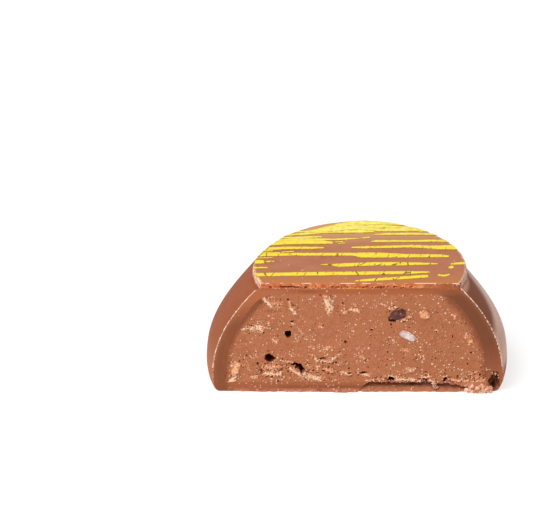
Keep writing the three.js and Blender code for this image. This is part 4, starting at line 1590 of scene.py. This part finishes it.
# The printed streaks: points on the disc, each with the streak's width there.
STREAKS = (
    ((-0.45, -4.15, 0.2), (0.85, -3.9, 0.6), (4.45, -3.4, 0.7), (7.7, -2.85, 0.7)),
    ((-11.6, -2.55, 0.85), (-7.3, -2.35, 0.9), (-0.3, -2.15, 0.9), (5.7, -1.95, 0.7), (7.95, -1.85, 0.3)),
    ((8.8, -2.55, 0.2), (9.25, -2.75, 0.5), (9.6, -2.75, 0.45), (10.15, -2.4, 0.2)),
    ((10.2, -0.8, 0.3), (10.5, -0.45, 0.5), (10.7, -0.35, 0.2)),
    ((10.4, 0.25, 0.25), (11.0, 0.35, 0.55), (12.0, 0.5, 0.6)),
    ((-4.2, 0.1, 0.15), (-3.0, 0.1, 0.35), (-2.2, -0.05, 0.9), (2.1, 0.3, 0.85), (4.8, 0.3, 0.9)),
    ((4.7, 0.3, 0.9), (7.0, 0.35, 0.6), (8.9, 0.3, 0.25)),
    ((-11.8, -0.7, 0.5), (-10.2, -0.7, 0.25)),
    ((-12.2, 0.75, 0.6), (-11.3, 0.8, 0.95), (-10.6, 0.85, 0.8)),
    ((-10.5, 0.9, 0.3), (-9.45, 0.95, 0.35)),
    ((-11.6, 1.8, 0.15), (-10.4, 1.85, 0.25), (-9.6, 1.95, 0.15)),
    ((-11.2, 3.65, 0.2), (-9.6, 3.75, 0.25)),
    ((-11.4, 2.55, 0.7), (-7.3, 2.8, 0.7), (-0.5, 2.8, 0.75), (0.5, 2.6, 1.35), (3.0, 2.55, 1.3)),
    ((2.9, 2.55, 1.3), (5.5, 2.4, 0.9), (9.3, 2.4, 0.75), (10.25, 2.2, 0.4)),
    ((-8.6, 3.35, 0.25), (-7.2, 3.5, 0.3)),
    ((-11.3, 3.1, 0.4), (-8.75, 3.2, 0.25)),
    ((-11.0, 4.2, 0.7), (-7.7, 4.5, 0.7), (-5.2, 4.5, 0.55), (-3.8, 4.55, 0.3)),
    ((-0.65, 4.6, 0.35), (1.2, 4.65, 0.6), (4.0, 4.8, 0.6), (6.1, 4.95, 0.7), (8.4, 4.7, 0.8)),
    ((8.3, 4.7, 0.8), (9.1, 4.6, 1.05), (10.6, 4.65, 1.15), (11.5, 4.5, 0.9)),
    ((-10.8, 5.3, 0.6), (-8.4, 5.95, 1.2), (-7.2, 6.05, 1.2), (-4.1, 6.05, 1.0), (-2.75, 5.85, 0.5)),
    ((-10.2, 6.3, 0.5), (-7.0, 6.85, 0.5), (-2.6, 6.75, 0.4), (-1.1, 6.9, 0.4), (0.2, 7.0, 0.15)),
    ((-2.45, 6.05, 0.15), (-1.6, 6.1, 0.35)),
    ((-2.1, 5.6, 0.2), (-1.35, 5.8, 0.15)),
    ((1.6, 6.2, 0.15), (2.3, 6.3, 0.55), (6.1, 6.3, 0.45), (8.3, 6.4, 0.55), (10.6, 6.35, 0.55)),
    ((0.45, 7.1, 0.12), (1.45, 7.3, 0.35)),
    ((-9.6, 7.1, 0.3), (-5.6, 7.35, 0.45), (-4.0, 7.45, 0.3)),
    ((-9.0, 7.7, 0.3), (-5.75, 8.3, 0.55), (-4.4, 8.8, 0.9), (-2.75, 9.2, 1.4), (-0.3, 9.1, 1.2), (2.0, 8.9, 0.5)),
    ((-6.9, 8.75, 0.3), (-4.9, 8.95, 0.7), (-3.4, 9.5, 1.3), (-2.1, 9.95, 1.7), (0.6, 10.3, 1.6)),
    ((0.5, 10.3, 1.6), (2.75, 10.3, 0.9), (7.0, 9.9, 0.2)),
    ((-2.4, 10.75, 0.3), (-0.9, 11.0, 0.9), (0.3, 11.2, 1.2), (2.3, 11.3, 1.1), (4.1, 11.0, 0.6), (5.6, 10.7, 0.3)),
    ((0.4, 9.7, 0.4), (2.75, 9.3, 0.8), (5.0, 9.4, 0.95), (6.8, 9.4, 0.7), (8.4, 9.0, 0.3)),
    ((2.0, 8.05, 0.15), (3.6, 8.2, 0.5), (6.45, 8.25, 0.5), (9.4, 8.1, 0.4)),
)


@dataclass
class PrintedStreaks:
    """The yellow streaks on the disc: thin ribbons with ragged sides."""

    disc: PrintedDisc
    step: float = 0.09
    thickness: float = 0.03
    layer_step: float = 0.0012
    raggedness: float = 0.3
    sunk: float = 0.03

    def build(self, material: Material) -> Mesh:
        """Return all streaks as one mesh, in millimetres."""
        points = [(x, y, FORM.disc_top) for path in STREAKS for x, y, _ in path]
        counts = [len(path) for path in STREAKS]
        starts = np.cumsum([0, *counts[:-1]])
        lines = [(int(at), int(at) + 1) for start, n in zip(starts, counts) for at in range(start, start + n - 1)]
        base = bpy.data.meshes.new("streak_lines")
        base.from_pydata(points, lines, [])
        store_values(base, "half_width", np.array([width / 2 for path in STREAKS for *_, width in path]))
        store_values(base, "layer", np.repeat(np.arange(len(STREAKS)) * self.layer_step, counts))
        return run_geometry_tree(self._tree(), base, material=material)

    def _tree(self) -> Tree:
        """Build the tree that turns each line into a ragged ribbon, held inside the rim."""
        s = NodeSheet.group(
            "printed_streaks",
            TreeKind.GEOMETRY,
            geometry=SocketKind.GEOMETRY,
            step=self.step,
            thickness=self.thickness,
            raggedness=self.raggedness,
            rim_radius=FORM.disc_top_radius - 0.03,
            rim_shift=FORM.disc_shift,
            level=FORM.disc_top,
            material=SocketKind.MATERIAL,
        )
        lines = s.add("GeometryNodeMeshToCurve", {"Mesh": s.given.geometry})
        fine = s.add("GeometryNodeResampleCurve", {"Curve": lines, "Length": s.given.step}, mode="LENGTH")
        marked = s.kept(fine, "middle", s.parts(s.position())[1])
        level = s.add("GeometryNodeSetCurveNormal", {"Curve": marked}, mode="Z_UP")
        profile = s.add("GeometryNodeCurvePrimitiveQuadrilateral", {"Width": 2.0, "Height": 0.2})
        swell = s.noise(s.position(), 2.2, 3.0).affine(1.0, 0.6)
        half_width = (s.named("half_width") * swell).max(0.02)
        inputs = {"Curve": level, "Profile Curve": profile, "Scale": half_width, "Fill Caps": True}
        ribbon = s.add("GeometryNodeCurveToMesh", inputs)
        aside = s.parts(s.position())[1] - s.named("middle")
        sided = s.kept(ribbon, "across", aside / s.named("half_width").max(0.05))
        moved = s.add("GeometryNodeSetPosition", {"Geometry": sided, "Position": self._place(s)})
        return s.end_geometry(s.add("GeometryNodeMergeByDistance", {"Geometry": moved, "Distance": 0.0005}))

    def _place(self, s: NodeSheet) -> Wire:
        """Return where a ribbon's point goes: its side ragged, inside the rim, flat on the disc."""
        given = s.given
        x, y, z = s.parts(s.position())
        ragged = (s.noise(s.xyz(x * 1.2, y * 3.0, 0.0), 2.4, 5.0) - 0.5) * given.raggedness
        y = y + ragged
        from_middle = x - given.rim_shift
        reach = from_middle.affine(from_middle, y * y).root()
        bearing = s.math("ARCTAN2", y, from_middle)
        rim = given.rim_radius + rim_change(s, bearing, self.disc.pressed_rim, self.disc.ragged_rim)
        held = (rim / reach.max(0.01)).min(1.0)
        height = given.thickness + self.sunk + s.named("layer")
        level = given.level + z.then("GREATER_THAN", given.level).affine(height, -self.sunk)
        return s.xyz(from_middle.affine(held, given.rim_shift), y * held, level)

    def dress(self) -> Piece:
        """Build, paint and place the streaks."""
        return finished_piece("yellow_streaks", self.build(PrintFinish().build()), crease=40)


@dataclass(frozen=True)
class Nib:
    """A chopped almond piece that the cut has opened."""

    name: str
    slot: str
    finish: AlmondFinish
    size: Triple
    tilt: float
    proud: float = 0.1
    roughness: float = 0.3
    squareness: float = 0.0


PRALINE = srgb(186, 114, 80)
BLANCHED = AlmondFinish(
    "blanched_almond_piece",
    middle=srgb(242, 224, 222),
    side=srgb(216, 192, 184),
    fleck=srgb(255, 252, 248),
    rim=srgb(206, 168, 158),
    flecked=0.25,
)
SKIN_ON = AlmondFinish(
    "skin_on_almond_piece",
    middle=srgb(74, 36, 36),
    side=srgb(124, 70, 60),
    fleck=srgb(214, 154, 134),
    rim=srgb(66, 22, 14),
    flecked=0.18,
)
GOLDEN_UPPER = AlmondFinish(
    "golden_almond_upper", srgb(250, 174, 120), srgb(232, 152, 106), srgb(255, 226, 200), PRALINE, 0.5
)
GOLDEN_LOWER = AlmondFinish(
    "golden_almond_lower", srgb(255, 184, 118), srgb(246, 172, 128), srgb(255, 234, 216), PRALINE, 0.5
)
GOLDEN_SIDE = AlmondFinish(
    "golden_almond_side", srgb(250, 196, 130), srgb(216, 136, 88), srgb(255, 228, 180), PRALINE, 0.3
)

NIBS = (
    Nib("blanched", "blanched_almond", BLANCHED, (1.9, 1.3, 0.85), tilt=28, roughness=0.12, squareness=0.35),
    Nib("skin_on", "skin_on_almond", SKIN_ON, (2.1, 1.4, 1.2), tilt=-20, proud=0.06, roughness=0.2),
    Nib("golden_upper", "toasted_almond", GOLDEN_UPPER, (1.3, 1.1, 1.2), tilt=-30),
    Nib("golden_lower", "toasted_almond", GOLDEN_LOWER, (0.95, 1.0, 1.7), tilt=18),
    Nib("golden_side", "toasted_almond", GOLDEN_SIDE, (0.75, 0.8, 0.6), tilt=-20, roughness=0.25),
)


@dataclass
class AlmondPieces:
    """The chopped almond pieces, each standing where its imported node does."""

    cell: float = 0.12
    cut_share: float = 0.12

    def dress(self) -> list[Piece]:
        """Build, paint and place every piece."""
        return [self._piece(nib, 2.7 * i) for i, nib in enumerate(NIBS)]

    def _piece(self, nib: Nib, seed: float) -> Piece:
        """Return one almond piece, cut flat in front."""
        node = f"almond_nib_{nib.name}"
        low, high = (np.array(corner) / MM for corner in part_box(node))
        centre = (low + high) / 2
        cut_y = CUT_Y - nib.proud
        middle = (float(centre[0]), cut_y + self.cut_share * nib.size[1], float(centre[2]))
        whole = lump_mesh(middle, nib.size, nib.roughness, 5, seed, nib.tilt, nib.squareness)

        def relief(x: Array, z: Array) -> Array:
            """Return the almond's own cut, nearly flat."""
            return 0.05 * Relief.noise(x / 0.5, 5, z / 0.5) - nib.proud

        block = knife_block(self.cell, 0.0, FORM.neck_height, FORM.belly_radius, relief)
        mesh = carve(whole, [(Cut.KEEP_INSIDE, block)])
        away = points_of(mesh)[:, [0, 2]] - np.array(middle)[[0, 2]]
        lean = math.radians(nib.tilt)
        along = away @ np.array([math.cos(lean), -math.sin(lean)]) / (nib.size[0] / 2)
        across = away @ np.array([math.sin(lean), math.cos(lean)]) / (nib.size[2] / 2)
        store_values(mesh, "rim", np.clip(np.hypot(along, across), 0, 1))
        return finished_piece(f"almond_piece_{nib.name}", mesh, node, 50, nib.finish.build())


# What both scattering trees are given.
CRUMB_INPUTS = {
    "geometry": SocketKind.GEOMETRY,
    "smallest": 0.04,
    "largest": 0.12,
    "seed": 1,
    "material": SocketKind.MATERIAL,
}


class ScatterTrees:
    """Geometry node trees that scatter crumbs over a face or along an edge."""

    def __init__(self) -> None:
        """Build both trees once."""
        self.over_face = self._over_face()
        self.along_edge = self._along_edge()

    @classmethod
    def _over_face(cls) -> Tree:
        """Build the tree that strews crumbs where the face's own values ask for them."""
        s = NodeSheet.group("strewn_crumbs", TreeKind.GEOMETRY, **CRUMB_INPUTS, density=4.0)
        given = s.given
        inputs = {"Mesh": given.geometry, "Density": s.named("crumbly") * given.density, "Seed": given.seed}
        return cls._crumbs(s, s.add("GeometryNodeDistributePointsOnFaces", inputs, "Points"))

    @classmethod
    def _along_edge(cls) -> Tree:
        """Build the tree that sets chips along lines, leaving some out."""
        s = NodeSheet.group("edge_chips", TreeKind.GEOMETRY, **CRUMB_INPUTS, step=0.15, share=0.7, jitter=0.05)
        given = s.given
        lines = s.add("GeometryNodeMeshToCurve", {"Mesh": given.geometry})
        places = s.add("GeometryNodeCurveToPoints", {"Curve": lines, "Length": given.step}, "Points", mode="LENGTH")
        inputs = {"Probability": given.share, "Seed": given.seed}
        dropped = 1.0 - s.add("FunctionNodeRandomValue", inputs, 3, data_type="BOOLEAN")
        inputs = {"Geometry": places, "Selection": dropped}
        kept = s.add("GeometryNodeDeleteGeometry", inputs, domain="POINT")
        offset = s.scaled(cls._random_vector(s, -1.0, 1.0, given.seed), given.jitter)
        return cls._crumbs(s, s.add("GeometryNodeSetPosition", {"Geometry": kept, "Offset": offset}))

    @staticmethod
    def _random(s: NodeSheet, seed: Value) -> Wire:
        """Return a random number for each point, 0 to 1."""
        return s.add("FunctionNodeRandomValue", {"Seed": seed}, 1, data_type="FLOAT")

    @staticmethod
    def _random_vector(s: NodeSheet, low: float, high: float, seed: Value) -> Wire:
        """Return three random numbers for each point, within a range."""
        inputs = {0: (low,) * 3, 1: (high,) * 3, "Seed": seed}
        return s.add("FunctionNodeRandomValue", inputs, data_type="FLOAT_VECTOR")

    @classmethod
    def _crumbs(cls, s: NodeSheet, points: Wire) -> Tree:
        """Put a crumb on each point, of its own size, turn and tone, and end the tree."""
        seed, smallest, largest = s.given.seed, s.given.smallest, s.given.largest
        toned = s.kept(points, "tone", cls._random(s, seed + 3.0))
        ball = s.add("GeometryNodeMeshIcoSphere", {"Radius": 1.0, "Subdivisions": 2})
        swell = s.noise(s.position(), 1.6, 2.0).affine(2.4, -0.25)
        inputs = {"Geometry": ball, "Position": s.scaled(s.position(), swell)}
        crumb = s.add("GeometryNodeSetPosition", inputs)
        size = (cls._random(s, seed + 1.0) ** 2.0).affine(largest - smallest, smallest)
        inputs = {
            "Points": toned,
            "Instance": crumb,
            "Rotation": cls._random_vector(s, 0.0, 6.28, seed),
            "Scale": s.scaled(cls._random_vector(s, 0.6, 1.0, seed + 2.0), size),
        }
        return s.end_geometry(s.add("GeometryNodeInstanceOnPoints", inputs))


@dataclass(frozen=True)
class CrumbRow:
    """Crumbs or chips along a line on the cut: its points, and what the scattering tree is given."""

    name: str
    material: Material
    slot: str
    points: Array
    step: float
    share: float
    jitter: float
    smallest: float
    largest: float
    seed: int

    def build(self, tree: Tree) -> Mesh:
        """Return the crumbs as one mesh, in millimetres."""
        values = {key: value for key, value in vars(self).items() if key not in ("name", "slot", "points")}
        return run_geometry_tree(tree, line_mesh(self.points.tolist()), **values)


def cut_line(x: Array | float, z: Array | float, behind: float = 0.0) -> Array:
    """Return points on the cut, or a little behind it, from places across and heights."""
    return np.column_stack(np.broadcast_arrays(x, behind + CUT_Y, z))


@dataclass
class LooseBits:
    """Crumbs on the cut face and chips along the coat's and the disc's cut edges."""

    trees: ScatterTrees = field(default_factory=ScatterTrees)

    def strewn(self, filling: Mesh, material: Material) -> Mesh:
        """Return the crumbs on the filling's torn places and along its crumbly lower edge.

        Args:
            filling: The filling's mesh, in millimetres.
            material: The crumbs' material.

        Returns:
            The crumbs, as one mesh.
        """
        face = filling.copy()
        x, y, z = points_of(face).T
        wanted = np.clip(1 + Relief.near_flakes(x, z)[0] / 0.6, 0, 1) * (y < 1.0 + CUT_Y)
        holes = np.max([hole.closeness(x, z) for hole in AIR_HOLES], axis=0)
        wanted *= np.clip(-holes / 0.2, 0, 1)
        fringe = (x > FORM.strip_start + 0.5) & (x < 15.0) & (y < 0.5 + CUT_Y)
        fringe = np.where(fringe, np.clip(1 - (z - FORM.base) / 0.6, 0, 1), 0)
        store_values(face, "crumbly", np.maximum(wanted, 1.2 * fringe))
        values = {"density": 9.0, "smallest": 0.04, "largest": 0.15, "seed": 5}
        return run_geometry_tree(self.trees.over_face, face, material=material, **values)

    def rows(self, crumb: Material) -> tuple[CrumbRow, ...]:
        """Return the rows of crumbs along the cut's edges; the praline's have the given material."""
        chip = CrumbFinish("chocolate_chips_pale", srgb(214, 150, 116), srgb(252, 222, 196)).build()
        orange = CrumbFinish("base_crumbs", srgb(186, 100, 66), srgb(226, 146, 108)).build()
        gap = np.linspace(FORM.strip_start + 0.3, FORM.strip_end, 120)
        clump = np.linspace(0.45, 1.15, 12)
        corner = np.linspace(14.2, 16.0, 30)
        rim = 3.1 - 0.75 * (corner - 14.2) + 0.15 * np.sin(9 * corner)
        fallen, foremost = np.linspace(12.3, 14.9, 30), np.linspace(12.7, 14.9, 30)
        heap = 0.2 + 0.25 * np.clip(fallen - 12.3, 0, 1)
        foot = np.linspace(-14.0, FORM.strip_start, 60)
        flank = np.linspace(1.2, FORM.neck_height, 60)
        half = FORM.coat_half_width(flank)
        brim = np.linspace(-FORM.disc_half_width, FORM.disc_half_width, 60)
        edge, clumped = cut_line(gap, strip_top(gap) + 0.14, 0.05), cut_line(8.45 + 0.4 * (1.15 - clump), clump)
        left, right, top = cut_line(-half, flank), cut_line(half, flank), cut_line(brim, FORM.disc_top, 0.06)
        return (
            CrumbRow("strip_crumbs", crumb, "praline", edge, 0.08, 0.75, 0.12, 0.03, 0.15, 11),
            CrumbRow("strip_clump", chip, "praline", clumped, 0.02, 1.0, 0.2, 0.05, 0.24, 16),
            CrumbRow("corner_crumbs", crumb, "praline", cut_line(corner, rim), 0.05, 0.9, 0.12, 0.03, 0.12, 12),
            CrumbRow("fallen_crumbs", crumb, "praline", cut_line(fallen, heap, -0.05), 0.03, 1.0, 0.26, 0.05, 0.4, 13),
            CrumbRow(
                "fallen_crumbs_front", crumb, "praline", cut_line(foremost, 0.14, -0.5), 0.04, 0.9, 0.12, 0.04, 0.26, 15
            ),
            CrumbRow(
                "base_edge_crumbs", orange, "milk_chocolate", cut_line(foot, 0.06, 0.02), 0.16, 0.5, 0.05, 0.03, 0.1, 14
            ),
            CrumbRow("coat_edge_chips_left", chip, "milk_chocolate", left, 0.09, 0.7, 0.03, 0.02, 0.07, 2),
            CrumbRow("coat_edge_chips_right", chip, "milk_chocolate", right, 0.09, 0.7, 0.03, 0.02, 0.07, 4),
            CrumbRow("disc_edge_flakes", chip, "printed_chocolate", top, 0.1, 0.4, 0.04, 0.02, 0.08, 9),
        )

    def dress(self, filling: Mesh) -> None:
        """Build, paint and place all loose bits."""
        crumb = CrumbFinish("praline_crumbs", srgb(190, 106, 76), srgb(255, 214, 180)).build()
        finished_piece("praline_crumbs", self.strewn(filling, crumb))
        for row in self.rows(crumb):
            finished_piece(row.name, row.build(self.trees.along_edge))


# ---------------------------------------------------------------- studio


@dataclass(frozen=True)
class Studio:
    """The pale floor, the soft light and the camera at the photograph's angle."""

    image_width: int = 537
    image_height: int = 528
    pixels_per_mm: float = 8.88
    base_pixel: tuple[float, float] = (358.0, 391.0)
    distance: float = 400.0
    elevation: float = 25.4
    sensor: float = 36.0
    nearest: float = 0.01
    floor_half: float = 1.5
    floor_color: Color = (0.35, 0.35, 0.35)
    floor_roughness: float = 0.9
    floor_glow: float = 0.74
    world_light: float = 0.34
    lamp_place: Triple = (-0.24, -0.225, 0.53)
    lamp_aim: Triple = (0, 0, 0.006)
    lamp_size: float = 0.35
    lamp_watts: float = 3.3

    @staticmethod
    def _place(name: str, data: bpy.types.ID, at: Vector | None = None, towards: Vector | None = None) -> Piece:
        """Put something in the scene.

        Args:
            name: Its name.
            data: Its mesh, light or camera.
            at: Where it stands, in metres, if that isn't the origin.
            towards: The direction that it looks in, if it looks anywhere.

        Returns:
            It, as an object.
        """
        piece = bpy.data.objects.new(name, data)
        if towards:
            piece.location = at
            piece.rotation_euler = towards.to_track_quat("-Z", "Y").to_euler()
        bpy.context.scene.collection.objects.link(piece)
        return piece

    def camera(self) -> None:
        """Make the camera that shows the cut's base where the photograph does."""
        tip = math.radians(self.elevation)
        forward = Vector((0, math.cos(tip), -math.sin(tip)))
        up = Vector((0, math.sin(tip), math.cos(tip)))
        aside = (self.image_width / 2 - self.base_pixel[0]) / self.pixels_per_mm
        above = (self.base_pixel[1] - self.image_height / 2) / self.pixels_per_mm
        aim = Vector((aside, CUT_Y, 0)) + above * up
        lens = bpy.data.cameras.new("camera")
        lens.sensor_fit = "HORIZONTAL"
        lens.sensor_width = self.sensor
        lens.lens = self.sensor * self.pixels_per_mm * self.distance / self.image_width
        lens.clip_start = self.nearest
        place = (aim - self.distance * forward) * MM
        bpy.context.scene.camera = self._place("camera", lens, place, forward)

    def floor(self) -> None:
        """Make the plain pale floor."""
        half = self.floor_half
        corners = np.array([[-half, -half, 0], [half, -half, 0], [half, half, 0], [-half, half, 0]])
        colors = {"base_color": self.floor_color, "emission_color": (1.0, 1.0, 1.0)}
        settings = {"specular_ior_level": 0.0, "emission_strength": self.floor_glow}
        mesh = plain_mesh("floor", corners, [[0, 1, 2, 3]])
        mesh.materials.append(Paint("pale_floor", self.floor_roughness, **colors, **settings).material)
        self._place("floor", mesh)

    def light(self) -> None:
        """Make the world and the square soft light."""
        scene = bpy.context.scene
        scene.view_settings.view_transform = "Standard"
        scene.world = bpy.data.worlds.new("studio")
        scene.world.use_nodes = True
        background = scene.world.node_tree.nodes["Background"].inputs
        background["Strength"].default_value = self.world_light
        background["Color"].default_value = (1.0, 1.0, 1.0, 1.0)
        lamp = bpy.data.lights.new("key", "AREA")
        lamp.size = self.lamp_size
        lamp.energy = self.lamp_watts
        place = Vector(self.lamp_place)
        self._place("key", lamp, place, Vector(self.lamp_aim) - place)


def main() -> None:
    """Build and dress the chocolate, then set the studio."""
    logging.basicConfig(level=logging.INFO, format="%(name)s: %(message)s")
    bodies = TurnedBody()
    coat, filling, disc = ChocolateCoat(bodies), PralineFilling(bodies), PrintedDisc(bodies)
    burr = EdgeBurr()
    coat.dress(coat.build(), burr)
    filling_mesh = filling.build()
    LooseBits().dress(filling_mesh)
    filling.dress(filling_mesh)
    disc.dress(disc.build(), burr)
    PrintedStreaks(disc).dress()
    AlmondPieces().dress()
    studio = Studio()
    studio.floor()
    studio.light()
    studio.camera()


if __name__ == "__main__":
    main()
